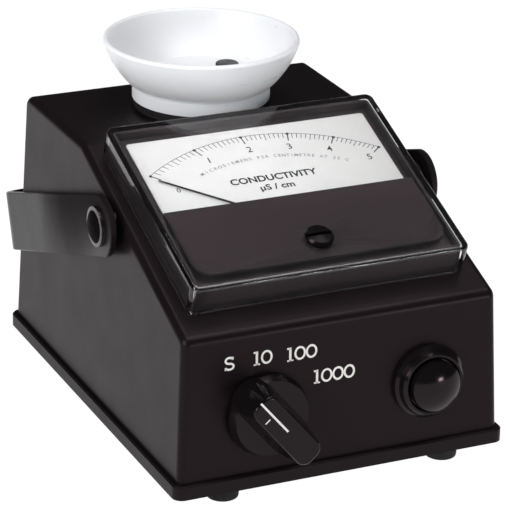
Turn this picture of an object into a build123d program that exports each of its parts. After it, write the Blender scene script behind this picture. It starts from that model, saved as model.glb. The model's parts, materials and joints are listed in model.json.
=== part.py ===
from build123d import *
import os
from math import atan2, cos, degrees, radians, sin, tan

os.makedirs("parts", exist_ok=True)

# A bench conductivity meter: a drafted case with a sloping panel meter, a cell cup on top, a range
# knob and a push button on the front, and a carrying strap hinged on two side studs.
# +X is right, -Y is the front and +Z is up. The origin is the centre of the footprint of the
# whole object, on the surface that it stands on.

# --- Case and base, millimetres ---
CASE_WIDTH = 100.0
CASE_DEPTH = 132.0
CASE_HEIGHT = 72.4
FRONT_HEIGHT = 42.2
BREAK_DEPTH = 80.7          # from the front face to where the slope meets the flat top
DRAFT_ANGLE = 2.35
WALL = 2.8
EDGE_RADIUS = 2.2
BASE_THICKNESS = 4.2
BASE_OVERHANG = 1.5
BASE_CORNER_RADIUS = 3.0
FOOT_HEIGHT = 4.0
FOOT_RADIUS = 4.9
FOOT_SPACING_X = 69.0
FOOT_INSET = 5.2            # from the front and rear faces to the feet
BOSS_RADIUS = 4.2
BOSS_HEIGHT = 26.0
BOSS_INSET = 3.0

# --- Panel meter, measured along the slope and out from it ---
METER_WIDTH = 85.6
METER_HEIGHT = 71.0
METER_RISE = 9.4            # how far the cover stands out of the slope
METER_LOW = 9.6             # from the foot of the slope to the cover
COVER_WALL = 1.8
BARREL_RADIUS = 32.0
BARREL_DEPTH = 23.0
BARREL_WALL = 2.0
WINDOW_WIDTH = 76.0
WINDOW_LOW = 42.5
WINDOW_HIGH = 75.1
MASK_LOW = 15.6
DIAL_TOP = 5.5
DIAL_THICKNESS = 0.5
MASK_BOTTOM = 6.8
MASK_THICKNESS = 0.8
PIVOT_X = 0.6
PIVOT_S = 31.0
NEEDLE_LENGTH = 44.0
NEEDLE_PLANE = 6.0
NEEDLE_REST_ANGLE = 52.6    # anticlockwise from straight up the slope
ZERO_S = 22.8
ZERO_RADIUS = 4.2
ZERO_PIN_OFFSET = 2.2

# --- Range knob and push button, measured on the front face ---
KNOB_X = -23.5
KNOB_HEIGHT = 17.3
KNOB_RADIUS = 12.0
KNOB_REACH = 14.6
KNOB_FRONT = 14.3           # from the foot of the front face to the foremost point of the knob
KNOB_REST_ANGLE = 130.0
BAR_LENGTH = 26.0
BAR_FOOT_WIDTH = 13.0
BAR_TOP_WIDTH = 8.0
BUTTON_X = 26.7
BUTTON_HEIGHT = 18.8
COLLAR_RADIUS = 11.0
BUTTON_TRAVEL = 2.5

# --- Cell cup ---
CUP_DEPTH = 102.75          # from the front face to the cup's axis
CUP_RIM_RADIUS = 29.7
CUP_RISE = 21.2             # rim above the flat top
CUP_COLLAR_RADIUS = 20.9
CUP_NECK_RADIUS = 16.0

# --- Carrying strap ---
STRAP_DEPTH = 55.6          # from the front face to the hinge line
STRAP_HEIGHT = 57.0         # hinge line above the base plate
STRAP_ANGLE = 19.0          # below level, towards the back
STRAP_LENGTH = 90.0
STRAP_WIDTH = 18.0
STRAP_THICKNESS = 2.0
STRAP_CORNER = 12.0
STRAP_GAP = 49.95           # from the centre plane to an arm's inner face
STRAP_CHAMFER = 0.3

# --- Fits ---
RUNNING = 0.05
SNUG = 0.05

# --- Levels and reference planes ---
BASE_Z = FOOT_HEIGHT
CASE_Z = BASE_Z + BASE_THICKNESS
TOP_Z = CASE_Z + CASE_HEIGHT
DRAFT = tan(radians(DRAFT_ANGLE))
strap_tilt = radians(STRAP_ANGLE)
STRAP_REACH = (
    STRAP_DEPTH + STRAP_LENGTH * cos(strap_tilt) + (STRAP_WIDTH / 2 - STRAP_CHAMFER) * sin(strap_tilt)
)
FRONT_Y = (KNOB_FRONT - STRAP_REACH) / 2
REAR_Y = FRONT_Y + CASE_DEPTH
CENTRE_Y = (FRONT_Y + REAR_Y) / 2
FRONT_TOP_Y = FRONT_Y + DRAFT * FRONT_HEIGHT
FRONT_TOP_Z = CASE_Z + FRONT_HEIGHT
BREAK_Y = FRONT_Y + BREAK_DEPTH
SLOPE = atan2(TOP_Z - FRONT_TOP_Z, BREAK_Y - FRONT_TOP_Y)


def shifted(plane, x, y, z=0.0):
    """The same plane with its origin moved along its own axes."""
    return Plane(origin=plane.from_local_coords((x, y, z)), x_dir=plane.x_dir, z_dir=plane.z_dir)


def level(z):
    """Level plane at a height, centred on the case."""
    return Plane(origin=(0, CENTRE_Y, z))


def turned(plane, angle):
    """The same plane turned anticlockwise about its own normal, by degrees."""
    across = plane.x_dir * cos(radians(angle)) + plane.y_dir * sin(radians(angle))
    return Plane(origin=plane.origin, x_dir=across, z_dir=plane.z_dir)


def side_view(plane):
    """Plane for a half profile: across is the radius, up is the plane's own normal."""
    return Plane(origin=plane.origin, x_dir=plane.x_dir, z_dir=-plane.y_dir)


def spin(plane):
    """Axis along the plane's normal, through its origin."""
    return Axis(plane.origin, plane.z_dir)


slope_plane = Plane(
    origin=(0, FRONT_TOP_Y, FRONT_TOP_Z), x_dir=(1, 0, 0), z_dir=(0, -sin(SLOPE), cos(SLOPE))
)
meter_plane = shifted(slope_plane, 0, METER_LOW + METER_HEIGHT / 2)
movement_plane = shifted(slope_plane, PIVOT_X, PIVOT_S)
zero_plane = shifted(slope_plane, PIVOT_X, ZERO_S)
draft_angle = radians(DRAFT_ANGLE)
front_plane = Plane(
    origin=(0, FRONT_Y, CASE_Z), x_dir=(1, 0, 0), z_dir=(0, -cos(draft_angle), sin(draft_angle))
)
knob_plane = shifted(front_plane, KNOB_X, KNOB_HEIGHT)
button_plane = shifted(front_plane, BUTTON_X, BUTTON_HEIGHT)
cup_plane = Plane(origin=(0, FRONT_Y + CUP_DEPTH, TOP_Z))
strap_plane = Plane(
    origin=(0, FRONT_Y + STRAP_DEPTH, CASE_Z + STRAP_HEIGHT),
    x_dir=(1, 0, 0),
    z_dir=(0, sin(strap_tilt), cos(strap_tilt)),
)
strap_side_plane = Plane(origin=strap_plane.origin, x_dir=strap_plane.y_dir, z_dir=(1, 0, 0))
hinge_plane = Plane(origin=strap_plane.origin, x_dir=(0, 1, 0), z_dir=(1, 0, 0))
SCREW_SPACING_X = CASE_WIDTH - 2 * (WALL + BOSS_INSET)
SCREW_SPACING_Y = CASE_DEPTH - 2 * (WALL + BOSS_INSET)
screw_spots = GridLocations(SCREW_SPACING_X, SCREW_SPACING_Y, 2, 2)


# ============================== Case and base ==============================


def case_block(inset, skirt, side_radius):
    """Drafted block with the case's side profile, moved inwards by inset and run down by skirt."""
    low_z = CASE_Z - skirt
    half_low = CASE_WIDTH / 2 + DRAFT * skirt - inset
    half_high = CASE_WIDTH / 2 - DRAFT * CASE_HEIGHT - inset
    with BuildPart() as block:
        with BuildSketch(Plane.YZ) as profile:
            with BuildLine():
                Polyline(
                    (FRONT_Y - DRAFT * skirt, low_z),
                    (FRONT_TOP_Y, FRONT_TOP_Z),
                    (BREAK_Y, TOP_Z),
                    (REAR_Y - DRAFT * CASE_HEIGHT, TOP_Z),
                    (REAR_Y + DRAFT * skirt, low_z),
                    close=True,
                )
            make_face()
            if inset > 0:
                offset(amount=-inset, kind=Kind.INTERSECTION)
            corners = profile.vertices().sort_by(Axis.Y)[2:]
            fillet(corners, EDGE_RADIUS + 0.8)
        extrude(amount=CASE_WIDTH, both=True)
        with BuildSketch(Plane.XZ):
            with BuildLine():
                Polyline(
                    (-half_low, low_z),
                    (half_low, low_z),
                    (half_high, TOP_Z),
                    (-half_high, TOP_Z),
                    close=True,
                )
            make_face()
        extrude(amount=CASE_DEPTH, both=True, mode=Mode.INTERSECT)
        sides = block.faces().sort_by(Axis.X)
        rims = sides[0].edges() + sides[-1].edges()
        fillet([edge for edge in rims if edge.length < CASE_DEPTH * 0.95], side_radius)
    return block.part


outer_block = case_block(0, 0, EDGE_RADIUS)
inner_block = case_block(WALL, 4 * WALL, EDGE_RADIUS / 2)
STUD_BOSS_FACE = STRAP_GAP - 0.65
STUD_BOSS_RADIUS = 4.2
STUD_BOSS_LENGTH = 10.5
STUD_THREAD_RADIUS = 1.9
METER_STUD_X = 36.0
METER_STUD_S = 28.5
METER_STUD_RADIUS = 1.5
SWITCH_BUSHING_RADIUS = 4.7
BUTTON_BUSHING_RADIUS = 6.2

with BuildPart() as case:
    add(outer_block)
    add(inner_block, mode=Mode.SUBTRACT)
    # bosses that hold the strap's studs and carry the arms clear of the drafted sides
    for side in (-1, 1):
        with BuildSketch(hinge_plane.offset(side * STUD_BOSS_FACE)):
            Circle(STUD_BOSS_RADIUS)
        extrude(amount=-side * STUD_BOSS_LENGTH)
    # posts for the base screws, tied into the corners
    with BuildSketch(level(CASE_Z)):
        with screw_spots:
            Circle(BOSS_RADIUS)
    extrude(amount=BOSS_HEIGHT)
    with BuildSketch(level(CASE_Z)):
        with screw_spots:
            Circle(1.5)
    extrude(amount=BOSS_HEIGHT - 3, mode=Mode.SUBTRACT)
    # openings: meter barrel and studs, switch, button, cup neck, strap studs
    with BuildSketch(shifted(meter_plane, 0, 0, 1)):
        Circle(BARREL_RADIUS + 0.6)
        with GridLocations(2 * METER_STUD_X, 2 * METER_STUD_S, 2, 2):
            Circle(METER_STUD_RADIUS + 0.2)
    extrude(amount=-(WALL + 4), mode=Mode.SUBTRACT)
    with BuildSketch(shifted(knob_plane, 0, 0, 1)):
        Circle(SWITCH_BUSHING_RADIUS + SNUG)
    extrude(amount=-(WALL + 2), mode=Mode.SUBTRACT)
    with BuildSketch(shifted(button_plane, 0, 0, 1)):
        Circle(BUTTON_BUSHING_RADIUS + SNUG)
    extrude(amount=-(WALL + 2), mode=Mode.SUBTRACT)
    with BuildSketch(cup_plane.offset(1)):
        Circle(CUP_NECK_RADIUS + 0.2)
    extrude(amount=-(WALL + 2), mode=Mode.SUBTRACT)
    for side in (-1, 1):
        with BuildSketch(hinge_plane.offset(side * STUD_BOSS_FACE)):
            Circle(STUD_THREAD_RADIUS + SNUG)
        extrude(amount=-side * (STUD_BOSS_LENGTH - 1.5), mode=Mode.SUBTRACT)
case.part.label = "case"
export_step(case.part, "parts/case.step")

FOOT_SPACING_Y = CASE_DEPTH - 2 * FOOT_INSET
foot_spots = GridLocations(FOOT_SPACING_X, FOOT_SPACING_Y, 2, 2)
SCREW_RADIUS = 1.45

with BuildPart() as base_plate:
    with BuildSketch(level(BASE_Z)):
        RectangleRounded(CASE_WIDTH + 2 * BASE_OVERHANG, CASE_DEPTH + 2 * BASE_OVERHANG, BASE_CORNER_RADIUS)
    extrude(amount=BASE_THICKNESS)
    chamfer(base_plate.faces().sort_by(Axis.Z)[-1].edges(), 0.5)
    with Locations(Plane(origin=(0, CENTRE_Y, BASE_Z), z_dir=(0, 0, -1))):
        with GridLocations(SCREW_SPACING_X, SCREW_SPACING_Y, 2, 2):
            CounterSinkHole(radius=1.6, counter_sink_radius=3.2)
    with BuildSketch(level(BASE_Z)):
        with foot_spots:
            Circle(SCREW_RADIUS + SNUG)
    extrude(amount=BASE_THICKNESS, mode=Mode.SUBTRACT)
base_plate.part.label = "base_plate"
export_step(base_plate.part, "parts/base_plate.step")

with BuildPart() as base_screws:
    with BuildSketch(level(BASE_Z + 0.1)):
        with screw_spots:
            Circle(2.9)
    extrude(amount=1.5, taper=44)
    with BuildSketch(level(BASE_Z + 0.1)):
        with screw_spots:
            Circle(SCREW_RADIUS)
    extrude(amount=16)
    with BuildSketch(level(BASE_Z + 0.1)):
        with screw_spots:
            Rectangle(3.4, 0.8)
            Rectangle(0.8, 3.4)
    extrude(amount=0.8, mode=Mode.SUBTRACT)
base_screws.part.label = "base_screws"
export_step(base_screws.part, "parts/base_screws.step")

FOOT_RECESS = 2.2
FOOT_TAPER = 5.0            # degrees that a foot narrows by towards its tread
with BuildPart() as rubber_feet:
    with BuildSketch(level(BASE_Z)):
        with foot_spots:
            Circle(FOOT_RADIUS)
    extrude(amount=-FOOT_HEIGHT, taper=FOOT_TAPER)
    fillet(rubber_feet.faces().group_by(Axis.Z)[0].edges(), 0.5)
    with BuildSketch(level(0)):
        with foot_spots:
            Circle(3.2)
    extrude(amount=FOOT_RECESS, mode=Mode.SUBTRACT)
    with BuildSketch(level(0)):
        with foot_spots:
            Circle(SCREW_RADIUS + SNUG)
    extrude(amount=FOOT_HEIGHT, mode=Mode.SUBTRACT)
rubber_feet.part.label = "rubber_feet"
export_step(rubber_feet.part, "parts/rubber_feet.step")

with BuildPart() as foot_screws:
    with BuildSketch(level(FOOT_RECESS)):
        with foot_spots:
            Circle(2.8)
    extrude(amount=-1.4)
    chamfer(foot_screws.faces().group_by(Axis.Z)[0].edges(), 0.4)
    with BuildSketch(level(FOOT_RECESS)):
        with foot_spots:
            Circle(SCREW_RADIUS)
    extrude(amount=6.5)
    with BuildSketch(level(FOOT_RECESS - 1.4)):
        with foot_spots:
            Rectangle(3.2, 0.8)
            Rectangle(0.8, 3.2)
    extrude(amount=0.7, mode=Mode.SUBTRACT)
foot_screws.part.label = "foot_screws"
export_step(foot_screws.part, "parts/foot_screws.step")


# ============================== Panel meter ==============================
# Heights in this section are measured out from the slope along its normal; the meter sits on it.

HOUSING_FLANGE = 2.2
COVER_CLEARANCE = 0.3
COVER_CORNER = 2.6
BARREL_FLOOR = BARREL_WALL - BARREL_DEPTH
DIAL_BOTTOM = DIAL_TOP - DIAL_THICKNESS
DIAL_POST_X = 34.0
DIAL_POST_S = 39.5
DIAL_LOW = 28.0
DIAL_HOLE_RADIUS = 10.5     # clears the climbing root of the needle
MOVEMENT_POST_RADIUS = 13.2
YOKE_LOW = -13.5
YOKE_HIGH = -3.5
TERMINAL_X = 12.0
TERMINAL_S = 14.0
TERMINAL_RADIUS = 2.0
MASK_WIDTH = 78.0
MASK_CORNER = 6.0
MASK_LEG_X = 30.0
MASK_LEG_RADIUS = 1.6
LEDGE_LOW = 4.0
LEDGE_HIGH = 4.9
OPENING_WIDTH = 74.4        # opening of the ledge that frames the dial from below
OPENING_LOW = 19.0
OPENING_HIGH = 74.2
SURROUND_WALL = 0.8
COVER_INSIDE = METER_RISE - COVER_WALL
TO_PIVOT = PIVOT_S - METER_LOW - METER_HEIGHT / 2
TO_ZERO = ZERO_S - METER_LOW - METER_HEIGHT / 2
TO_POSTS = DIAL_POST_S - METER_LOW - METER_HEIGHT / 2

with BuildPart() as meter_housing:
    with BuildSketch(meter_plane):
        RectangleRounded(
            METER_WIDTH - 2 * (COVER_WALL + COVER_CLEARANCE),
            METER_HEIGHT - 2 * (COVER_WALL + COVER_CLEARANCE),
            COVER_CORNER - COVER_WALL,
        )
    extrude(amount=HOUSING_FLANGE)
    with BuildSketch(meter_plane):
        Circle(BARREL_RADIUS)
    extrude(amount=-BARREL_DEPTH)
    with BuildSketch(shifted(meter_plane, 0, 0, HOUSING_FLANGE)):
        Circle(BARREL_RADIUS - BARREL_WALL)
    extrude(amount=BARREL_FLOOR - HOUSING_FLANGE, mode=Mode.SUBTRACT)
    # pillars for the dial plate, and posts that the movement's yoke stands on
    with BuildSketch(meter_plane):
        with Locations((-DIAL_POST_X, TO_POSTS), (DIAL_POST_X, TO_POSTS)):
            Circle(2.6)
    extrude(amount=DIAL_BOTTOM)
    with BuildSketch(meter_plane):
        with Locations((-DIAL_POST_X, TO_POSTS), (DIAL_POST_X, TO_POSTS)):
            Circle(1.0)
    extrude(amount=DIAL_BOTTOM, mode=Mode.SUBTRACT)
    with BuildSketch(shifted(meter_plane, 0, 0, BARREL_FLOOR)):
        with Locations((PIVOT_X, TO_PIVOT)):
            with GridLocations(0, 2 * MOVEMENT_POST_RADIUS, 1, 2):
                Circle(1.9)
    extrude(amount=YOKE_LOW - BARREL_FLOOR)
    # screwed studs that clamp the meter to the case
    with BuildSketch(meter_plane):
        with GridLocations(2 * METER_STUD_X, 2 * METER_STUD_S, 2, 2):
            Circle(METER_STUD_RADIUS)
    extrude(amount=-9.5)
    with BuildSketch(shifted(meter_plane, 0, 0, BARREL_FLOOR)):
        with Locations((-TERMINAL_X, TERMINAL_S), (TERMINAL_X, TERMINAL_S)):
            Circle(TERMINAL_RADIUS + SNUG)
    extrude(amount=-BARREL_WALL, mode=Mode.SUBTRACT)
meter_housing.part.label = "meter_housing"
export_step(meter_housing.part, "parts/meter_housing.step")

with BuildPart() as meter_cover:
    with BuildSketch(meter_plane):
        RectangleRounded(METER_WIDTH, METER_HEIGHT, COVER_CORNER)
    extrude(amount=METER_RISE)
    fillet(meter_cover.faces().sort_by(spin(meter_plane))[-1].edges(), 1.1)
    with BuildSketch(meter_plane):
        RectangleRounded(
            METER_WIDTH - 2 * COVER_WALL, METER_HEIGHT - 2 * COVER_WALL, COVER_CORNER - COVER_WALL + 0.2
        )
    extrude(amount=METER_RISE - COVER_WALL, mode=Mode.SUBTRACT)
    with BuildSketch(zero_plane):
        Circle(2.0 + RUNNING)
    extrude(amount=METER_RISE + 1, mode=Mode.SUBTRACT)
meter_cover.part.label = "meter_cover"
export_step(meter_cover.part, "parts/meter_cover.step")

with BuildPart() as meter_mask:
    mask_height = WINDOW_LOW - MASK_LOW
    with BuildSketch(shifted(slope_plane, 0, MASK_LOW + mask_height / 2, MASK_BOTTOM)) as mask_outline:
        Rectangle(MASK_WIDTH, mask_height)
        fillet(mask_outline.vertices().group_by(Axis.Y)[0], MASK_CORNER)
        with Locations((PIVOT_X, ZERO_S - MASK_LOW - mask_height / 2)):
            Circle(3.6, mode=Mode.SUBTRACT)
    extrude(amount=MASK_THICKNESS)
    # two legs that hold it over the surround's ledge
    with BuildSketch(shifted(slope_plane, 0, MASK_LOW + 3.5, LEDGE_LOW)):
        with Locations((-MASK_LEG_X, 0), (MASK_LEG_X, 0)):
            Circle(MASK_LEG_RADIUS)
    extrude(amount=MASK_BOTTOM - LEDGE_LOW)
    # surround: a ledge under the edges of the dial, and a wall just inside the cover
    surround_width = METER_WIDTH - 2 * COVER_WALL - COVER_CLEARANCE
    surround_height = METER_HEIGHT - 2 * COVER_WALL - COVER_CLEARANCE
    with BuildSketch(shifted(meter_plane, 0, 0, LEDGE_LOW)):
        RectangleRounded(surround_width, surround_height, COVER_CORNER / 2)
        with Locations((0, (OPENING_LOW + OPENING_HIGH) / 2 - METER_LOW - METER_HEIGHT / 2)):
            Rectangle(OPENING_WIDTH, OPENING_HIGH - OPENING_LOW, mode=Mode.SUBTRACT)
    extrude(amount=LEDGE_HIGH - LEDGE_LOW)
    with BuildSketch(shifted(meter_plane, 0, 0, HOUSING_FLANGE)):
        RectangleRounded(surround_width, surround_height, COVER_CORNER / 2)
        Rectangle(
            surround_width - 2 * SURROUND_WALL, surround_height - 2 * SURROUND_WALL, mode=Mode.SUBTRACT
        )
    extrude(amount=COVER_INSIDE - HOUSING_FLANGE - 0.1)
meter_mask.part.label = "meter_mask"
export_step(meter_mask.part, "parts/meter_mask.step")

with BuildPart() as dial_plate:
    dial_height = WINDOW_HIGH - DIAL_LOW
    with BuildSketch(shifted(slope_plane, 0, DIAL_LOW + dial_height / 2, DIAL_BOTTOM)) as dial_outline:
        Rectangle(WINDOW_WIDTH, dial_height)
        fillet(dial_outline.vertices(), 1.0)
        with Locations((PIVOT_X, PIVOT_S - DIAL_LOW - dial_height / 2)):
            Circle(DIAL_HOLE_RADIUS, mode=Mode.SUBTRACT)
        with Locations((0, DIAL_POST_S - DIAL_LOW - dial_height / 2)):
            with GridLocations(2 * DIAL_POST_X, 0, 2, 1):
                Circle(1.1, mode=Mode.SUBTRACT)
    extrude(amount=DIAL_THICKNESS)
dial_plate.part.label = "dial_plate"
export_step(dial_plate.part, "parts/dial_plate.step")

with BuildPart() as dial_screws:
    with BuildSketch(shifted(meter_plane, 0, 0, DIAL_TOP)):
        with Locations((-DIAL_POST_X, TO_POSTS), (DIAL_POST_X, TO_POSTS)):
            Circle(1.9)
    extrude(amount=0.9)
    with BuildSketch(shifted(meter_plane, 0, 0, DIAL_TOP + 0.9)):
        with Locations((-DIAL_POST_X, TO_POSTS), (DIAL_POST_X, TO_POSTS)):
            Rectangle(4, 0.5)
    extrude(amount=-0.5, mode=Mode.SUBTRACT)
    with BuildSketch(shifted(meter_plane, 0, 0, DIAL_TOP)):
        with Locations((-DIAL_POST_X, TO_POSTS), (DIAL_POST_X, TO_POSTS)):
            Circle(0.95)
    extrude(amount=-4.5)
dial_screws.part.label = "dial_screws"
export_step(dial_screws.part, "parts/dial_screws.step")

with BuildPart() as meter_nuts:
    with BuildSketch(shifted(meter_plane, 0, 0, -WALL - 0.05)):
        with GridLocations(2 * METER_STUD_X, 2 * METER_STUD_S, 2, 2):
            RegularPolygon(radius=2.75, side_count=6, major_radius=False)
            Circle(METER_STUD_RADIUS + SNUG, mode=Mode.SUBTRACT)
    extrude(amount=-2.4)
meter_nuts.part.label = "meter_nuts"
export_step(meter_nuts.part, "parts/meter_nuts.step")

with BuildPart() as meter_terminals:
    with BuildSketch(shifted(meter_plane, 0, 0, BARREL_FLOOR)):
        with Locations((-TERMINAL_X, TERMINAL_S), (TERMINAL_X, TERMINAL_S)):
            Circle(3.2)
    extrude(amount=1.2)
    with BuildSketch(shifted(meter_plane, 0, 0, BARREL_FLOOR)):
        with Locations((-TERMINAL_X, TERMINAL_S), (TERMINAL_X, TERMINAL_S)):
            Circle(TERMINAL_RADIUS)
    extrude(amount=-10)
    # their nuts, behind the barrel
    with BuildSketch(shifted(meter_plane, 0, 0, -BARREL_DEPTH)):
        with Locations((-TERMINAL_X, TERMINAL_S), (TERMINAL_X, TERMINAL_S)):
            RegularPolygon(radius=3.5, side_count=6, major_radius=False)
            Circle(TERMINAL_RADIUS + SNUG, mode=Mode.SUBTRACT)
    extrude(amount=-2.6)
meter_terminals.part.label = "meter_terminals"
export_step(meter_terminals.part, "parts/meter_terminals.step")

# --- Moving-coil movement, on its own axis ---
CORE_RADIUS = 8.0
YOKE_BORE = 11.2
YOKE_RADIUS = 15.6
COIL_INNER = 8.7
COIL_OUTER = 10.0
COIL_WIDTH = 4.0
COIL_LOW = -15.4
COIL_HIGH = -1.7
COIL_WALL = 1.2
STAFF_RADIUS = 0.6
BRIDGE_LOW = 1.2
BRIDGE_THICKNESS = 1.5
BRIDGE_WIDTH = 4.2
REAR_BRIDGE_HIGH = -18.0
BRIDGE_LEG_X = 13.3
needle_plane = turned(movement_plane, NEEDLE_REST_ANGLE)

with BuildPart() as meter_yoke:
    with BuildSketch(shifted(movement_plane, 0, 0, YOKE_LOW)):
        Circle(YOKE_RADIUS)
        Circle(YOKE_BORE, mode=Mode.SUBTRACT)
    extrude(amount=YOKE_HIGH - YOKE_LOW)
    chamfer(meter_yoke.edges().filter_by(GeomType.CIRCLE).group_by(SortBy.RADIUS)[-1], 0.4)
meter_yoke.part.label = "meter_yoke"
export_step(meter_yoke.part, "parts/meter_yoke.step")

with BuildPart() as core_magnet:
    with BuildSketch(shifted(movement_plane, 0, 0, YOKE_LOW)):
        Circle(CORE_RADIUS)
    extrude(amount=YOKE_HIGH - YOKE_LOW)
    chamfer(core_magnet.edges(), 0.4)
core_magnet.part.label = "core_magnet"
export_step(core_magnet.part, "parts/core_magnet.step")

with BuildPart() as core_supports:
    with BuildSketch(shifted(movement_plane, 0, 0, YOKE_LOW + 3)):
        with Locations((0, (CORE_RADIUS + YOKE_BORE) / 2), (0, -(CORE_RADIUS + YOKE_BORE) / 2)):
            Rectangle(3.4, YOKE_BORE - CORE_RADIUS + 1)
        Circle(CORE_RADIUS, mode=Mode.SUBTRACT)
        with BuildSketch(mode=Mode.INTERSECT):
            Circle(YOKE_BORE)
    extrude(amount=4)
core_supports.part.label = "core_supports"
export_step(core_supports.part, "parts/core_supports.step")

with BuildPart() as front_bridge:
    with BuildSketch(shifted(movement_plane, 0, 0, BRIDGE_LOW)):
        SlotCenterToCenter(2 * BRIDGE_LEG_X, BRIDGE_WIDTH)
        Circle(3.4)
    extrude(amount=BRIDGE_THICKNESS)
    with BuildSketch(shifted(movement_plane, 0, 0, YOKE_HIGH)):
        with Locations((-BRIDGE_LEG_X, 0), (BRIDGE_LEG_X, 0)):
            Circle(2.0)
    extrude(amount=BRIDGE_LOW - YOKE_HIGH)
    with BuildSketch(shifted(movement_plane, 0, 0, BRIDGE_LOW)):
        Circle(1.5 + SNUG)
    extrude(amount=BRIDGE_THICKNESS, mode=Mode.SUBTRACT)
front_bridge.part.label = "front_bridge"
export_step(front_bridge.part, "parts/front_bridge.step")

with BuildPart() as rear_bridge:
    with BuildSketch(shifted(movement_plane, 0, 0, REAR_BRIDGE_HIGH)):
        SlotCenterToCenter(2 * BRIDGE_LEG_X, BRIDGE_WIDTH)
        Circle(3.4)
    extrude(amount=-BRIDGE_THICKNESS)
    with BuildSketch(shifted(movement_plane, 0, 0, REAR_BRIDGE_HIGH)):
        with Locations((-BRIDGE_LEG_X, 0), (BRIDGE_LEG_X, 0)):
            Circle(2.0)
    extrude(amount=YOKE_LOW - REAR_BRIDGE_HIGH)
    with BuildSketch(shifted(movement_plane, 0, 0, REAR_BRIDGE_HIGH)):
        Circle(1.5 + SNUG)
    extrude(amount=-BRIDGE_THICKNESS, mode=Mode.SUBTRACT)
rear_bridge.part.label = "rear_bridge"
export_step(rear_bridge.part, "parts/rear_bridge.step")

# Each jewel screw ends in a cone that the staff's point turns in.
JEWEL_CONE = 0.9
with BuildPart() as jewel_screws:
    with BuildSketch(side_view(movement_plane)):
        with BuildLine():
            Polyline(
                (0, BRIDGE_LOW - 0.6 + JEWEL_CONE),
                (0, BRIDGE_LOW + 3.0),
                (1.5, BRIDGE_LOW + 3.0),
                (1.5, BRIDGE_LOW - 0.6),
                (JEWEL_CONE, BRIDGE_LOW - 0.6),
                close=True,
            )
        make_face()
    revolve(axis=spin(movement_plane))
    with BuildSketch(side_view(movement_plane)):
        with BuildLine():
            Polyline(
                (0, REAR_BRIDGE_HIGH + 0.6 - JEWEL_CONE),
                (0, REAR_BRIDGE_HIGH - 2.6),
                (1.5, REAR_BRIDGE_HIGH - 2.6),
                (1.5, REAR_BRIDGE_HIGH + 0.6),
                (JEWEL_CONE, REAR_BRIDGE_HIGH + 0.6),
                close=True,
            )
        make_face()
    revolve(axis=spin(movement_plane))
    with BuildSketch(shifted(movement_plane, 0, 0, BRIDGE_LOW + 3.0)):
        Rectangle(4, 0.5)
    extrude(amount=-0.6, mode=Mode.SUBTRACT)
jewel_screws.part.label = "jewel_screws"
export_step(jewel_screws.part, "parts/jewel_screws.step")

STAFF_TOP = BRIDGE_LOW - 0.6 + JEWEL_CONE - 0.1
STAFF_BOTTOM = REAR_BRIDGE_HIGH + 0.6 - JEWEL_CONE + 0.1
with BuildPart() as pivot_staff:
    with BuildSketch(side_view(movement_plane)):
        with BuildLine():
            Polyline(
                (0, COIL_HIGH - 0.2),
                (STAFF_RADIUS, COIL_HIGH - 0.2),
                (STAFF_RADIUS, STAFF_TOP - STAFF_RADIUS),
                (0, STAFF_TOP),
                close=True,
            )
        make_face()
    revolve(axis=spin(movement_plane))
    with BuildSketch(side_view(movement_plane)):
        with BuildLine():
            Polyline(
                (0, COIL_LOW + 0.2),
                (STAFF_RADIUS, COIL_LOW + 0.2),
                (STAFF_RADIUS, STAFF_BOTTOM + STAFF_RADIUS),
                (0, STAFF_BOTTOM),
                close=True,
            )
        make_face()
    revolve(axis=spin(movement_plane))
pivot_staff.part.label = "pivot_staff"
export_step(pivot_staff.part, "parts/pivot_staff.step")

with BuildPart() as moving_coil:
    with BuildSketch(side_view(needle_plane)):
        with Locations((0, (COIL_LOW + COIL_HIGH) / 2)):
            RectangleRounded(2 * COIL_OUTER, COIL_HIGH - COIL_LOW, 1.0)
            Rectangle(2 * COIL_INNER, COIL_HIGH - COIL_LOW - 2 * COIL_WALL, mode=Mode.SUBTRACT)
    extrude(amount=COIL_WIDTH / 2, both=True)
    with BuildSketch(shifted(movement_plane, 0, 0, COIL_LOW - 1)):
        Circle(STAFF_RADIUS)
    extrude(amount=COIL_HIGH - COIL_LOW + 2, mode=Mode.SUBTRACT)
moving_coil.part.label = "moving_coil"
export_step(moving_coil.part, "parts/moving_coil.step")

# The needle leaves a hub on the staff, climbs past the bridge and runs over the dial.
HUB_LOW = -0.75
HUB_HIGH = 0.05
with BuildPart() as needle:
    with BuildSketch(shifted(needle_plane, 0, 0, HUB_LOW)):
        Circle(1.7)
        with Locations((0, -4.5)):
            Rectangle(1.2, 8)
        Rectangle(8, 1.0)
    extrude(amount=HUB_HIGH - HUB_LOW)
    with BuildSketch(Plane(origin=needle_plane.origin, x_dir=needle_plane.y_dir, z_dir=needle_plane.x_dir)):
        with BuildLine():
            Polyline(
                (0.8, HUB_LOW),
                (4.0, HUB_LOW),
                (8.6, NEEDLE_PLANE - 0.15),
                (NEEDLE_LENGTH, NEEDLE_PLANE - 0.1),
                (NEEDLE_LENGTH, NEEDLE_PLANE + 0.1),
                (8.2, NEEDLE_PLANE + 0.25),
                (3.6, HUB_HIGH),
                (0.8, HUB_HIGH),
                close=True,
            )
        make_face()
    extrude(amount=0.28, both=True)
    with BuildSketch(shifted(movement_plane, 0, 0, HUB_LOW - 1)):
        Circle(STAFF_RADIUS)
    extrude(amount=3, mode=Mode.SUBTRACT)
needle.part.label = "needle"
export_step(needle.part, "parts/needle.step")

with BuildPart() as balance_weights:
    with BuildSketch(shifted(needle_plane, 0, 0, HUB_HIGH)):
        with Locations((0, -7.2)):
            Circle(1.3)
    extrude(amount=0.9)
    with BuildSketch(shifted(needle_plane, 0, 0, HUB_LOW)):
        with Locations((0, -7.2)):
            Circle(1.3)
    extrude(amount=-0.7)
balance_weights.part.label = "balance_weights"
export_step(balance_weights.part, "parts/balance_weights.step")

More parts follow.
